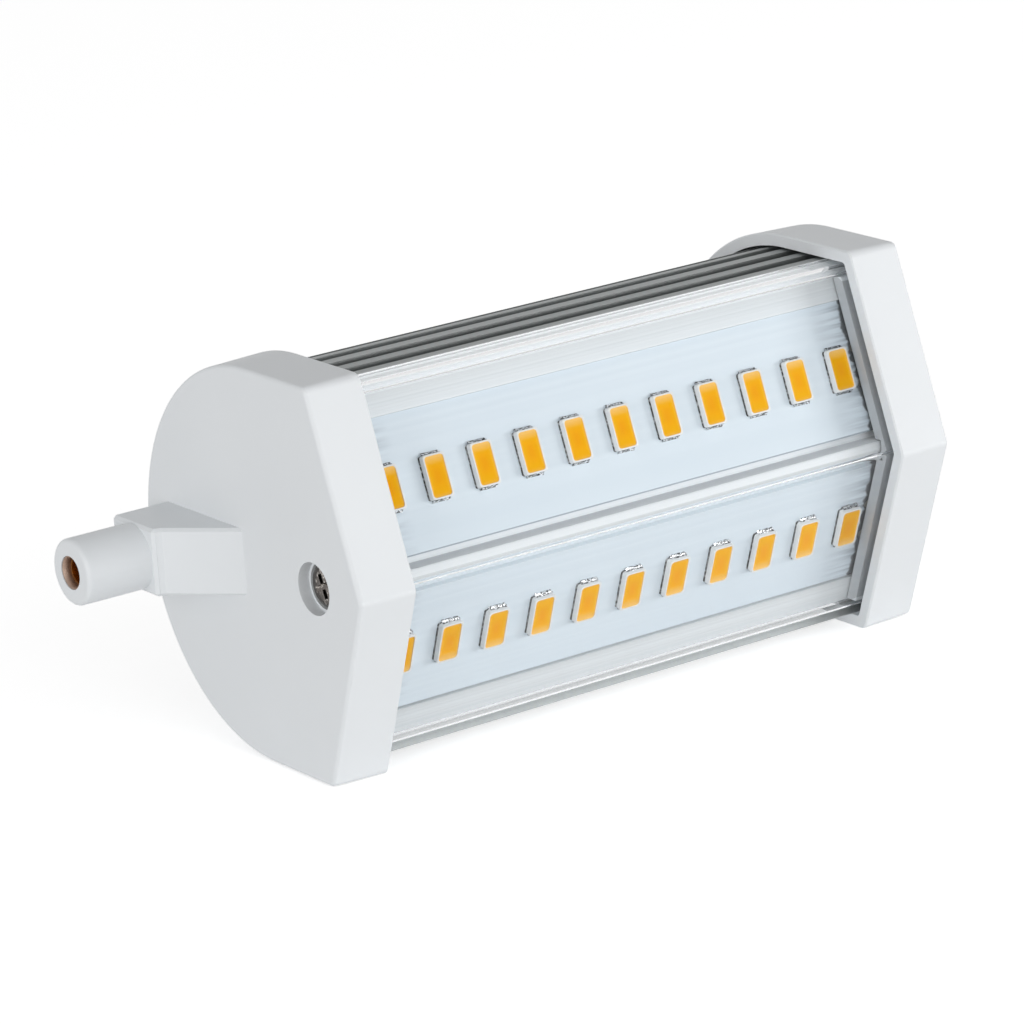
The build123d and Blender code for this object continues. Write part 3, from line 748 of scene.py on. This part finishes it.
@dataclass(frozen=True)
class PhosphorFinish(Finish):
    """Silicone with phosphor, paler towards the cup's walls and its outer end."""

    rim: Colour = (1.0, 0.62, 0.2)
    side: Ramp = ((0.72, 1.0), (0.0, 0.4))
    tip: Ramp = ((0.55, 1.0), (0.0, 0.9))
    heel: Ramp = ((-0.8, -1.0), (0.0, 0.35))
    die: Colour = (0.985, 0.395, 0.0005)
    middle: Ramp = ((0.2, 0.65), (0.9, 0.0))
    shine: float = 0.05

    def surface(self, sheet: Sheet) -> dict[str, Source]:
        """Wires the paler rim and the deeper middle from the filling's own place in its cup.

        Args:
            sheet: The material's sheet.

        Returns:
            What goes into the Principled node, by input.
        """
        inputs = super().surface(sheet)
        across, outward = (
            sheet.node("ShaderNodeAttribute", attribute_name=name).outputs["Fac"]
            for name in (CUP_ACROSS, CUP_OUTWARD)
        )
        aside = sheet.maths("ABSOLUTE", across)
        ends = sheet.most(sheet.spread(outward, *self.tip), sheet.spread(outward, *self.heel))
        pale = sheet.most(sheet.spread(aside, *self.side), ends)
        reach = sheet.most(aside, sheet.maths("ABSOLUTE", outward))
        body = sheet.blend(sheet.spread(reach, *self.middle), inputs["Base Color"], self.die)
        colour = sheet.blend(pale, body, self.rim)
        return {**inputs, "Base Color": colour, "Specular IOR Level": self.shine}


CAP_WHITE = CapFinish(
    "cap_plastic", (0.79, 0.815, 0.835), (0.775, 0.80, 0.82),
    gloss=(0.42, 0.5), fineness=2600.0, depth=5e-6,
)
BARE_ALUMINIUM = DrawnFinish(
    "bare_aluminium", (0.84, 0.865, 0.875), (0.61, 0.635, 0.645),
    gloss=(0.45, 0.62), fineness=1700.0, depth=6e-6, metallic=1.0,
)
CLEAR_PLASTIC = ClearFinish(
    "clear_plastic", (0.9, 0.92, 0.935), (1.0, 1.0, 1.0),
    gloss=(0.0, 0.012), fineness=1500.0, depth=0.12e-6,
)
BOARD_MASK = BoardFinish(
    "board_mask", (0.765, 0.845, 0.90), (0.74, 0.82, 0.88),
    gloss=(0.35, 0.45), fineness=2400.0, depth=3e-6,
)
PACKAGE_WHITE = Finish(
    "led_package", (0.86, 0.86, 0.85), (0.82, 0.82, 0.81),
    gloss=(0.3, 0.42), fineness=6000.0, depth=3e-6,
)
PHOSPHOR = PhosphorFinish(
    "phosphor", (1.0, 0.47, 0.001), (1.0, 0.49, 0.002),
    gloss=(0.22, 0.34), fineness=5000.0, depth=4e-6,
)
# The near-black specks in the tin are painted dark reflections among its lumps
SOLDER = SpeckledFinish(
    "tin_solder", (0.85, 0.86, 0.87), (0.05, 0.052, 0.055),
    gloss=(0.12, 0.25), fineness=5200.0, depth=6e-5, metallic=1.0, speck=4600.0, clean=0.53,
)
# Near-black foot of each package: partly flux, partly painted shade of the gap under the package
FLUX_AND_SHADE = SpeckledFinish(
    "flux_and_foot_shade", (0.016, 0.016, 0.016), (0.45, 0.46, 0.47),
    gloss=(0.3, 0.5), fineness=6000.0, depth=2e-5, speck=3600.0, clean=0.55,
)
DARK_NICKEL = SpeckledFinish(
    "dark_nickel", (0.15, 0.135, 0.125), (0.6, 0.56, 0.52),
    gloss=(0.14, 0.28), fineness=4200.0, depth=6e-5, metallic=1.0, speck=2600.0, clean=0.62,
)
CONTACT_BRASS = Finish(
    "contact_brass", (0.46, 0.34, 0.275), (0.36, 0.25, 0.19),
    gloss=(0.4, 0.5), fineness=3600.0, depth=6e-6, metallic=1.0,
)
CONTACT_FLOOR = Finish(
    "contact_floor", (0.42, 0.21, 0.045), (0.22, 0.1, 0.025),
    gloss=(0.2, 0.35), fineness=3600.0, depth=2e-5, metallic=1.0,
)

# Finishes of the driver, which nothing shows from outside
SLEEVE = Finish("sleeve_plastic", (0.78, 0.78, 0.75), (0.72, 0.72, 0.69))
FIBRE = Finish(
    "fibre_board", (0.03, 0.15, 0.045), (0.04, 0.18, 0.06),
    gloss=(0.3, 0.45), fineness=1500.0, depth=8e-6,
)
LACQUER = Finish(
    "blue_lacquer", (0.015, 0.055, 0.3), (0.02, 0.07, 0.36),
    gloss=(0.2, 0.35), fineness=1800.0, depth=1e-5,
)
RESISTOR = Finish(
    "resistor_body", (0.27, 0.42, 0.32), (0.3, 0.46, 0.36),
    gloss=(0.3, 0.45), fineness=2200.0, depth=1e-5,
)
FILM = Finish(
    "film_case", (0.53, 0.4, 0.035), (0.58, 0.44, 0.05),
    gloss=(0.35, 0.5),
)
FERRITE = Finish(
    "ferrite", (0.022, 0.022, 0.024), (0.035, 0.035, 0.036),
    gloss=(0.55, 0.75), fineness=4000.0, depth=1.5e-5,
)
WINDING = Finish(
    "winding_tape", (0.72, 0.45, 0.022), (0.66, 0.4, 0.02),
    gloss=(0.25, 0.4), fineness=1800.0, depth=6e-6,
)
CHIP = Finish(
    "chip_moulding", (0.008, 0.008, 0.009), (0.014, 0.014, 0.015),
    gloss=(0.45, 0.6), fineness=5000.0, depth=6e-6,
)
CAN = Finish(
    "can_sleeve", (0.014, 0.016, 0.034), (0.02, 0.022, 0.045),
    gloss=(0.2, 0.35), fineness=1600.0, depth=5e-6,
)
WIRE = Finish(
    "wire_insulation", (0.6, 0.57, 0.51), (0.55, 0.52, 0.46),
    gloss=(0.4, 0.55), fineness=2400.0, depth=5e-6,
)


def looks_up(centre: Vector, normal: Vector) -> bool:
    """Tells a face that looks up on the bench."""
    return normal.z > FOLLOWS


def looks_down(centre: Vector, normal: Vector) -> bool:
    """Tells a face that looks down on the bench."""
    return normal.z < -FOLLOWS


def stands_up(middle: Vector, direction: Vector) -> bool:
    """Tells an edge that stands upright on the bench."""
    return abs(direction.z) > FOLLOWS


def is_any(place: Vector, direction: Vector) -> bool:
    """Passes every face and edge."""
    return True


class Blank:
    """A piece on the bench, shaped from a primitive by operators; one unit is a millimetre."""

    rod_sides: int = 64
    merge_reach: float = 0.001
    rough_seed: int = 7

    def __init__(self, name: str) -> None:
        """Takes the object that is active.

        Args:
            name: Name of the piece.
        """
        self.obj = bpy.context.object
        self.obj.name = name
        bpy.ops.object.transform_apply(location=True, rotation=True, scale=True)

    @staticmethod
    def clear() -> None:
        """Leaves edit mode with nothing selected, so that the next operator acts on one piece."""
        if bpy.context.mode != "OBJECT":
            bpy.ops.object.mode_set(mode="OBJECT")
        bpy.ops.object.select_all(action="DESELECT")

    @classmethod
    def hold(cls, *objects: bpy.types.Object) -> None:
        """Selects these objects alone and makes the first of them active.

        Args:
            objects: The objects that the next operator acts on.
        """
        cls.clear()
        for obj in objects:
            obj.select_set(True)
        bpy.context.view_layer.objects.active = objects[0]

    @classmethod
    def box(cls, name: str, low: tuple, high: tuple) -> "Blank":
        """Starts from a box.

        Args:
            name: Name of the piece.
            low: Lowest corner.
            high: Highest corner.

        Returns:
            The new blank.
        """
        cls.clear()
        corners = Vector(low), Vector(high)
        bpy.ops.mesh.primitive_cube_add(size=1.0, location=(corners[0] + corners[1]) / 2)
        bpy.context.object.scale = corners[1] - corners[0]
        return cls(name)

    @classmethod
    def rod(cls, name: str, radius: float, low: float, high: float) -> "Blank":
        """Starts from an upright cylinder on the bench's Z axis.

        Args:
            name: Name of the piece.
            radius: Its radius.
            low: Height of its lower end.
            high: Height of its upper end.

        Returns:
            The new blank.
        """
        cls.clear()
        middle = (0.0, 0.0, (low + high) / 2)
        bpy.ops.mesh.primitive_cylinder_add(
            vertices=cls.rod_sides, radius=radius, depth=high - low, location=middle
        )
        return cls(name)

    @classmethod
    def solid(cls, name: str, node: str) -> "Blank":
        """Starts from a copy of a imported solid.

        Args:
            name: Name of the piece.
            node: Name of the solid.

        Returns:
            The new blank, without the normals that it was packed with and with its corners merged.
        """
        cls.hold(copy_to(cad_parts[node], name, TO_BENCH))
        blank = cls(name)
        bpy.ops.mesh.customdata_custom_splitnormals_clear()
        blank.faces(is_any)
        bpy.ops.mesh.remove_doubles(threshold=cls.merge_reach)
        return blank

    def edit(self, kind: str) -> bmesh.types.BMesh:
        """Enters edit mode with nothing selected.

        Args:
            kind: What is going to be selected, FACE or EDGE.

        Returns:
            The mesh that is edited.
        """
        bpy.context.view_layer.objects.active = self.obj
        bpy.ops.object.mode_set(mode="EDIT")
        bpy.ops.mesh.select_mode(type=kind)
        bpy.ops.mesh.select_all(action="DESELECT")
        mesh = bmesh.from_edit_mesh(self.obj.data)
        mesh.normal_update()
        return mesh

    def faces(self, test: Test) -> "Blank":
        """Selects faces.

        Args:
            test: What a face's centre and normal have to pass.

        Returns:
            This blank.
        """
        mesh = self.edit("FACE")
        for face in mesh.faces:
            face.select_set(test(face.calc_center_median(), face.normal))
        bmesh.update_edit_mesh(self.obj.data)
        return self

    def edges(self, test: Test) -> "Blank":
        """Selects edges.

        Args:
            test: What an edge's middle and direction have to pass.

        Returns:
            This blank.
        """
        mesh = self.edit("EDGE")
        for edge in mesh.edges:
            first, second = (v.co for v in edge.verts)
            edge.select_set(test((first + second) / 2, (second - first).normalized()))
        bmesh.update_edit_mesh(self.obj.data)
        return self

    def inset(self, width: float, rise: float = 0.0) -> "Blank":
        """Insets the selected faces, and lifts what is inside by a rise."""
        bpy.ops.mesh.inset(thickness=width, depth=rise)
        return self

    def extrude(self, rise: float) -> "Blank":
        """Extrudes the selected faces up, or down where the rise is below 0."""
        bpy.ops.mesh.extrude_region_move(TRANSFORM_OT_translate={"value": (0.0, 0.0, rise)})
        return self

    def move(self, offset: tuple) -> "Blank":
        """Moves what is selected."""
        bpy.ops.transform.translate(value=offset)
        return self

    def resize(self, across: float, along: float) -> "Blank":
        """Scales what is selected in X and Y, about the bench's Z axis."""
        bpy.ops.transform.resize(value=(across, along, 1.0), center_override=(0.0, 0.0, 0.0))
        return self

    def subdivide(self, cuts: int) -> "Blank":
        """Divides the selected faces."""
        bpy.ops.mesh.subdivide(number_cuts=cuts)
        return self

    def roughen(self, reach: float) -> "Blank":
        """Shifts each selected corner by up to that reach, the same way in every run."""
        bpy.ops.transform.vertex_random(offset=reach, uniform=1.0, seed=self.rough_seed)
        return self

    def bevel(self, width: float, segments: int) -> "Blank":
        """Rounds the selected edges."""
        bpy.ops.mesh.bevel(offset=width, offset_type="OFFSET", segments=segments, affect="EDGES")
        return self

    def cut(self, cutter: "Blank") -> "Blank":
        """Takes another blank away from this one and removes that blank.

        Args:
            cutter: The blank that is taken away.

        Returns:
            This blank.
        """
        self.done()
        cutter.done()
        bpy.context.view_layer.objects.active = self.obj
        tool = self.obj.modifiers.new("cut", "BOOLEAN")
        tool.object = cutter.obj
        tool.solver = "EXACT"
        bpy.ops.object.modifier_apply(modifier=tool.name)
        bpy.data.objects.remove(cutter.obj)
        return self

    def done(self) -> None:
        """Leaves edit mode."""
        if self.obj.mode == "EDIT":
            bpy.ops.object.mode_set(mode="OBJECT")

    def smooth(self, angle: float = 35.0) -> bpy.types.Object:
        """Shades the finished piece smooth.

        Args:
            angle: Degrees from which an edge stays sharp.

        Returns:
            The finished object.
        """
        self.done()
        self.hold(self.obj)
        bpy.ops.object.shade_smooth_by_angle(angle=math.radians(angle))
        return self.obj


def copy_to(master: bpy.types.Object, name: str, matrix: Matrix) -> bpy.types.Object:
    """Copies a piece to or from the bench, with its place in its own mesh.

    Args:
        master: The piece to copy.
        name: Name of the copy.
        matrix: From the piece's frame to the copy's.

    Returns:
        The copy, at the origin.
    """
    made = bpy.data.objects.new(name, master.data.copy())
    made.data.name = name
    made.data.transform(matrix)
    bpy.context.scene.collection.objects.link(made)
    return made


def join_copies(master: bpy.types.Object, name: str, matrices: list[Matrix]) -> bpy.types.Object:
    """Copies a bench piece to several places and joins the copies into one piece.

    Args:
        master: The piece on the bench.
        name: Name of the joined piece.
        matrices: One matrix for each copy.

    Returns:
        The joined piece, at the origin.
    """
    copies = [copy_to(master, f"{name}_{i}", matrix) for i, matrix in enumerate(matrices)]
    Blank.hold(*copies)
    bpy.ops.object.join()
    copies[0].name = name
    return copies[0]


def discard(*masters: bpy.types.Object) -> None:
    """Removes bench pieces that have been copied."""
    for master in masters:
        bpy.data.objects.remove(master)


def coat(piece: bpy.types.Object, *finishes: Finish) -> None:
    """Gives a piece its finishes in place of what it had.

    Args:
        piece: The piece.
        finishes: One finish for each material index.
    """
    piece.data.materials.clear()
    for finish in finishes:
        piece.data.materials.append(finish.material())


def seat(piece: bpy.types.Object, slot: str, *nodes: str) -> None:
    """Fixes a finished piece to the lamp in place of the solids that it stands for.

    Args:
        piece: The finished piece.
        slot: The record's material slot; not used.
        nodes: Names of the solids.
    """
    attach(piece, ROOT)
    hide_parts(*nodes)
    log.info("%s stands for %s", piece.name, ", ".join(nodes))


def dress(node: str, finish: Finish) -> None:
    """Gives a solid its finish.

    Args:
        node: Name of the solid.
        finish: The finish that all its faces get.
    """
    coat(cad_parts[node], finish)
    log.info("%s has the finish %s", node, finish.name)


@dataclass
class EndCaps:
    """The two moulded caps, each with its contact and its screw, in bench millimetres."""

    contact_radius: float = 1.95
    contact_wall: float = 0.3
    contact_depth: float = 1.9
    contact_floor: float = 0.4
    drill_point: float = 0.3
    drill_share: float = 0.9
    lip: float = 0.06
    mouth_depth: float = 0.35
    step_depth: float = 1.0
    step: float = 0.18
    # Height over the step below which the inner faces take the darker floor finish
    tarnish_rise: float = 0.05
    shank_radius: float = 1.05
    shank_length: float = 6.0
    head_radius: float = 2.6
    head_height: float = 1.5
    head_rise: float = 0.35
    head_edge: float = 0.75
    head_segments: int = 6
    head_sharp: float = 30.0
    screw_radius: float = 1.2
    screw_length: float = 10.0
    cross_length: float = 3.2
    cross_width: float = 0.72
    cross_depth: float = 1.15
    cross_over: float = 0.2
    cross_taper: Span = (0.3, 0.55)
    cross_turn: float = 24.0

    def build(self) -> None:
        """Dresses the caps, and models their contacts and screws."""
        contact, screw = self.contact(), self.screw()
        for end in End:
            dress(f"{end.label}_end_cap", CAP_WHITE)
            for master, slot in ((contact, "contact_brass"), (screw, "dark_nickel")):
                node = f"{end.label}_{master.name}"
                low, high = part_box(node)
                tip = (low + high) / 2
                tip.x = high.x if end is End.RIGHT else low.x
                seat(copy_to(master, f"{node}_piece", end.matrix(tip)), slot, node)
        discard(contact, screw)

    def contact(self) -> bpy.types.Object:
        """Models a drawn cup with a rounded lip, a drilled floor and a shank.

        Returns:
            The contact on the bench, with its mouth at height 0.
        """
        bottom = -(self.contact_depth + self.contact_floor)
        inner = self.contact_radius - self.contact_wall
        mouth = inner / (self.contact_radius - self.lip)
        blank = Blank.rod("contact", self.contact_radius, bottom, 0.0)
        blank.faces(looks_up).inset(self.lip)
        blank.extrude(-self.mouth_depth).resize(mouth, mouth)
        blank.extrude(self.mouth_depth - self.step_depth).inset(self.step)
        blank.extrude(self.step_depth - self.contact_depth)
        blank.inset(self.drill_share * (inner - self.step), -self.drill_point)
        blank.faces(lambda c, n: looks_down(c, n) and c.z < bottom + CLOSE)
        blank.inset(self.contact_radius - self.shank_radius).extrude(-self.shank_length)
        made = blank.smooth()
        coat(made, CONTACT_BRASS, CONTACT_FLOOR)
        for face in made.data.polygons:
            inside = math.hypot(face.center.x, face.center.y) < inner
            sunk = bottom < face.center.z < self.tarnish_rise - self.step_depth
            face.material_index = int(inside and sunk)
        return made

    def screw(self) -> bpy.types.Object:
        """Models a rounded head with a tapered cross recess on a shank.

        Returns:
            The screw on the bench, with the top of its solid's head at height 0 and its dome above.
        """
        blank = Blank.rod("cap_screw", self.head_radius, -self.head_height, self.head_rise)
        blank.edges(lambda c, d: abs(c.z - self.head_rise) < CLOSE)
        blank.bevel(self.head_edge, self.head_segments)
        blank.faces(looks_down).inset(self.head_radius - self.screw_radius)
        blank.extrude(-self.screw_length)
        for quarter in (0.0, 90.0):
            blank.cut(self.cross_arm(self.cross_turn + quarter))
        made = blank.smooth(self.head_sharp)
        coat(made, DARK_NICKEL)
        return made

    def cross_arm(self, turn: float) -> Blank:
        """Makes one tapered arm of the cross, as a cutter.

        Args:
            turn: Degrees that the arm is turned about the screw's axis.

        Returns:
            The cutter.
        """
        half, width = self.cross_length / 2, self.cross_width / 2
        over = self.head_rise + self.cross_over
        blank = Blank.box("arm", (-half, -width, -self.cross_depth), (half, width, over))
        blank.faces(looks_down).resize(*self.cross_taper)
        blank.done()
        blank.obj.data.transform(Matrix.Rotation(math.radians(turn), 4, "Z"))
        return blank


@dataclass
class LedRows:
    """The two lit boards with their LED packages, fillings and soldered ends, in bench millimetres."""

    count: int = 11
    length: float = 5.2
    width: float = 3.0
    height: float = 0.9
    # The package stands on a foot that flares past its sides and takes the near-black finish: partly flux,
    # partly painted shade of the gap under it
    lift: float = 0.2
    foot_inset: float = 0.1
    foot_spread: Span = (1.14, 1.03)
    corner: float = 0.32
    corner_segments: int = 3
    soft_edge: float = 0.05
    soft_segments: int = 2
    rim: float = 0.17
    cup_depth: float = 0.38
    cup_taper: Span = (0.88, 0.94)
    window_corner: float = 0.42
    window_segments: int = 4
    fill_rise: float = 0.06
    fill_gap: float = 0.02
    fill_under: float = 0.01
    fill_edge: float = 0.08
    fill_sink: float = 0.03
    fill_steps: tuple = ((0.85, 0.03), (0.7, 0.015), (0.6, 0.005))
    fill_taper: Span = (0.9, 0.95)
    fill_sharp: float = 50.0
    solder_width: float = 2.3
    solder_reach: float = 0.3
    solder_height: float = 0.5
    solder_toe: float = 0.15
    solder_cuts: int = 4
    solder_lumps: float = 0.07
    solder_slope: float = 0.3
    solder_sharp: float = 60.0
    board_play: float = 0.13

    def build(self) -> None:
        """Dresses the boards and sets the modelled LEDs on them."""
        package, fill, solder = self.package(), self.fill(), self.solder()
        half_turn = Matrix.Rotation(math.pi, 4, "Z")
        for row in Row:
            board = f"{row.label}_led_board"
            # No slot shows above the upper board, so that one is pushed home
            if row is Row.UPPER:
                seat(self.board(row), "board_mask", board)
            else:
                dress(board, BOARD_MASK)
            places = []
            for number in range(1, self.count + 1):
                node = f"{row.label}_led_{number:02d}"
                low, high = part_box(node)
                base = (low + high) / 2 - row.normal() * (self.height / 2 * MM)
                places.append(row.matrix(base))
                seat(copy_to(package, f"{node}_package", places[-1]), "led_package", node)
            fills = join_copies(fill, f"{row.label}_phosphor_fill", places)
            seat(fills, "phosphor", f"{row.label}_phosphor")
            both = [place @ turn for place in places for turn in (Matrix.Identity(4), half_turn)]
            ends = join_copies(solder, f"{row.label}_solder_fillets", both)
            seat(ends, "tin_solder", f"{row.label}_led_terminals")
        discard(package, fill, solder)

    def board(self, row: Row) -> bpy.types.Object:
        """Models a row's board from its solid, pushed home against the outer wall of its seat.

        Args:
            row: The row that the board carries.

        Returns:
            The board, in its place in the lamp.
        """
        node = f"{row.label}_led_board"
        outward = row.outward()
        blank = Blank.solid("board", node)
        blank.faces(lambda c, n: n.dot(outward) > FOLLOWS).move(outward * self.board_play)
        made = copy_to(blank.smooth(), f"{node}_plate", FROM_BENCH)
        coat(made, BOARD_MASK)
        discard(blank.obj)
        return made

    def package(self) -> bpy.types.Object:
        """Models a white package with a sloped cup, standing on a near-black foot that is partly flux and
        partly painted shade of the gap under it.

        Returns:
            The package on the bench, with its foot at height 0.
        """
        x, y = self.width / 2, self.length / 2
        blank = Blank.box("package", (-x, -y, self.lift), (x, y, self.height))
        blank.edges(stands_up).bevel(self.corner, self.corner_segments)
        blank.edges(lambda c, d: abs(c.z - self.height) < CLOSE)
        blank.bevel(self.soft_edge, self.soft_segments)
        blank.cut(self.cup())
        blank.faces(looks_down).inset(self.foot_inset)
        blank.extrude(-self.lift).resize(*self.foot_spread)
        made = blank.smooth()
        # The foot's faces take the near-black finish, which is partly painted shade
        coat(made, PACKAGE_WHITE, FLUX_AND_SHADE)
        for face in made.data.polygons:
            face.material_index = int(face.center.z < self.lift - CLOSE)
        return made

    def cup(self) -> Blank:
        """Makes the hollow of a package's cup, with round corners and a smaller floor.

        Returns:
            The cutter.
        """
        x, y = self.width / 2 - self.rim, self.length / 2 - self.rim
        floor, over = self.height - self.cup_depth, self.height + self.soft_edge
        blank = Blank.box("cup", (-x, -y, floor), (x, y, over))
        blank.edges(stands_up).bevel(self.window_corner, self.window_segments)
        return blank.faces(looks_down).resize(*self.cup_taper)

    def fill(self) -> bpy.types.Object:
        """Models a filling that climbs the cup's walls, with its place in the cup as attributes.

        Returns:
            The filling on the bench, at its height in the package.
        """
        inset = self.rim + self.fill_gap
        x, y = self.width / 2 - inset, self.length / 2 - inset
        floor = self.height - self.cup_depth + self.fill_under
        blank = Blank.box("fill", (-x, -y, floor), (x, y, self.height - self.fill_rise))
        blank.edges(stands_up).bevel(self.window_corner, self.window_segments)
        blank.faces(looks_up).inset(self.fill_edge, -self.fill_sink)
        for share, drop in self.fill_steps:
            blank.extrude(-drop).resize(share, (1 + share) / 2)
        blank.faces(looks_down).resize(*self.fill_taper)
        made = blank.smooth(self.fill_sharp)
        for name, axis, half in ((CUP_ACROSS, 0, x), (CUP_OUTWARD, 1, y)):
            attribute = made.data.attributes.new(name, "FLOAT", "POINT")
            attribute.data.foreach_set("value", [v.co[axis] / half for v in made.data.vertices])
        coat(made, PHOSPHOR)
        return made

    def solder(self) -> bpy.types.Object:
        """Models the solder that climbs one short end of a package.

        Returns:
            The solder on the bench, at the package's outer end.
        """
        x, start, top = self.solder_width / 2, self.length / 2, self.solder_height
        end = start + self.solder_reach
        blank = Blank.box("solder", (-x, start, 0.0), (x, end, top))
        blank.edges(lambda c, d: c.z > top - CLOSE and c.y > end - CLOSE)
        blank.move((0.0, 0.0, self.solder_toe - top))
        blank.faces(is_any).subdivide(self.solder_cuts)
        blank.faces(lambda c, n: n.z > self.solder_slope).roughen(self.solder_lumps)
        made = blank.smooth(self.solder_sharp)
        coat(made, SOLDER)
        return made


@dataclass
class Body:
    """The heat sink and the clear cover in front of it."""

    metal: Finish = BARE_ALUMINIUM
    plastic: Finish = CLEAR_PLASTIC

    def build(self) -> None:
        """Dresses the two extrusions."""
        dress("heatsink", self.metal)
        dress("clear_cover", self.plastic)


@dataclass
class Driver:
    """The driver inside the heat sink, as its solids and their finishes."""

    finishes: tuple = (
        ("driver_sleeve", SLEEVE),
        ("driver_board", FIBRE),
        ("varistor", LACQUER),
        ("fuse_resistor", RESISTOR),
        ("film_capacitor", FILM),
        ("line_choke", FERRITE),
        ("transformer_core", FERRITE),
        ("transformer_winding", WINDING),
        ("bridge_rectifier", CHIP),
        ("controller_chip", CHIP),
        ("input_capacitor", CAN),
        ("output_capacitor", CAN),
        ("left_mains_wire", WIRE),
        ("right_mains_wire", WIRE),
        ("upper_board_wires", WIRE),
        ("lower_board_wires", WIRE),
    )

    def build(self) -> None:
        """Dresses every piece of the driver."""
        for node, finish in self.finishes:
            dress(node, finish)


@dataclass(frozen=True)
class SoftLight:
    """A rectangular studio light: its place and the size of its face in metres, and its watts."""

    name: str
    spot: tuple
    size: Span
    power: float


@dataclass
class Studio:
    """Camera, lights, floor and surroundings, with their places in metres."""

    lens: float = 173.34
    sensor: float = 36.0
    nearest: float = 0.01
    eye: tuple = (-0.326907, -0.454852, 0.190729)
    forward: tuple = (0.55138, 0.78196, -0.29071)
    right: tuple = (0.80510, -0.59008, -0.06022)
    lights: tuple = (
        SoftLight("key", (0.05, -0.9, 0.11), (0.6, 0.2), 2.1),
        SoftLight("side", (-0.85, -0.25, 0.17), (0.5, 0.3), 2.2),
        SoftLight("right", (0.62, -0.52, 0.09), (0.36, 0.16), 1.8),
    )
    aim: tuple = (0.0, 0.0, 0.024)
    floor_half: float = 6.0
    floor_paint: Colour = (0.9, 0.9, 0.9)
    floor_glow: float = 0.56
    surround: float = 0.55
    zenith: float = 0.62
    sky_span: Span = (0.3, 1.0)

    def build(self) -> None:
        """Sets up everything around the lamp."""
        bpy.context.scene.view_settings.view_transform = "Standard"
        self.camera()
        self.floor()
        self.world()
        for light in self.lights:
            self.light(light)

    def put(self, name: str, data: bpy.types.ID, matrix: Matrix) -> bpy.types.Object:
        """Adds a camera or a light to the scene.

        Args:
            name: Name of the object.
            data: The camera or the light.
            matrix: Its place and turn.

        Returns:
            The object.
        """
        made = bpy.data.objects.new(name, data)
        made.matrix_world = matrix
        bpy.context.scene.collection.objects.link(made)
        return made

    def camera(self) -> None:
        """Places the camera where the photograph was taken from."""
        data = bpy.data.cameras.new("camera")
        data.lens = self.lens
        data.sensor_width = self.sensor
        data.clip_start = self.nearest
        forward, right = Vector(self.forward).normalized(), Vector(self.right).normalized()
        turn = axes(right, right.cross(forward), -forward)
        bpy.context.scene.camera = self.put("camera", data, Matrix.Translation(self.eye) @ turn)

    def light(self, light: SoftLight) -> None:
        """Adds a soft light that looks at the middle of the lamp.

        Args:
            light: The light.
        """
        data = bpy.data.lights.new(light.name, "AREA")
        data.shape = "RECTANGLE"
        data.size, data.size_y = light.size
        data.energy = light.power
        look = Vector(self.aim) - Vector(light.spot)
        turn = look.to_track_quat("-Z", "Y").to_matrix().to_4x4()
        self.put(light.name, data, Matrix.Translation(light.spot) @ turn)

    def floor(self) -> None:
        """Lays the pale floor, which shows white but keeps the lamp's shadow."""
        Blank.clear()
        bpy.ops.mesh.primitive_plane_add(size=2 * self.floor_half)
        made = bpy.context.object
        made.name = "floor"
        material = bpy.data.materials.new("floor_white")
        sheet = Sheet.of(material)
        strength = sheet.times(self.seen(sheet), self.floor_glow)
        paint = sheet.node("ShaderNodeBsdfDiffuse", {"Color": self.floor_paint})
        glow = sheet.node("ShaderNodeEmission", {"Color": WHITE, "Strength": strength})
        both = sheet.node("ShaderNodeAddShader", {0: paint.outputs[0], 1: glow.outputs[0]})
        sheet.node("ShaderNodeOutputMaterial", {"Surface": both.outputs[0]})
        made.data.materials.append(material)

    def seen(self, sheet: Sheet) -> Socket:
        """Tells rays that look from light that falls.

        Args:
            sheet: Sheet of the floor or the world.

        Returns:
            1 for rays from the camera, a reflection or glass, and 0 for others.
        """
        path = sheet.node("ShaderNodeLightPath").outputs
        mirrored = sheet.most(path["Is Glossy Ray"], path["Is Transmission Ray"])
        return sheet.most(path["Is Camera Ray"], mirrored)

    def world(self) -> None:
        """Surrounds the lamp with even light that is white to look at and dimmer overhead."""
        world = bpy.data.worlds.new("surround")
        bpy.context.scene.world = world
        sheet = Sheet.of(world)
        up = sheet.part(sheet.node("ShaderNodeTexCoord").outputs["Generated"], "Z")
        sky = sheet.spread(up, self.sky_span, (1.0, self.zenith))
        level = sheet.spread(self.seen(sheet), WHOLE, (self.surround, 1.0))
        inputs = {"Color": WHITE, "Strength": sheet.times(sky, level)}
        back = sheet.node("ShaderNodeBackground", inputs)
        sheet.node("ShaderNodeOutputWorld", {"Surface": back.outputs[0]})


def main() -> None:
    """Builds the lamp's looks and its surroundings in order."""
    logging.basicConfig(level=logging.INFO, format="%(name)s: %(message)s")
    for part in (Studio(), EndCaps(), Body(), LedRows(), Driver()):
        part.build()
        log.info("%s is done", type(part).__name__)


if __name__ == "__main__":
    main()
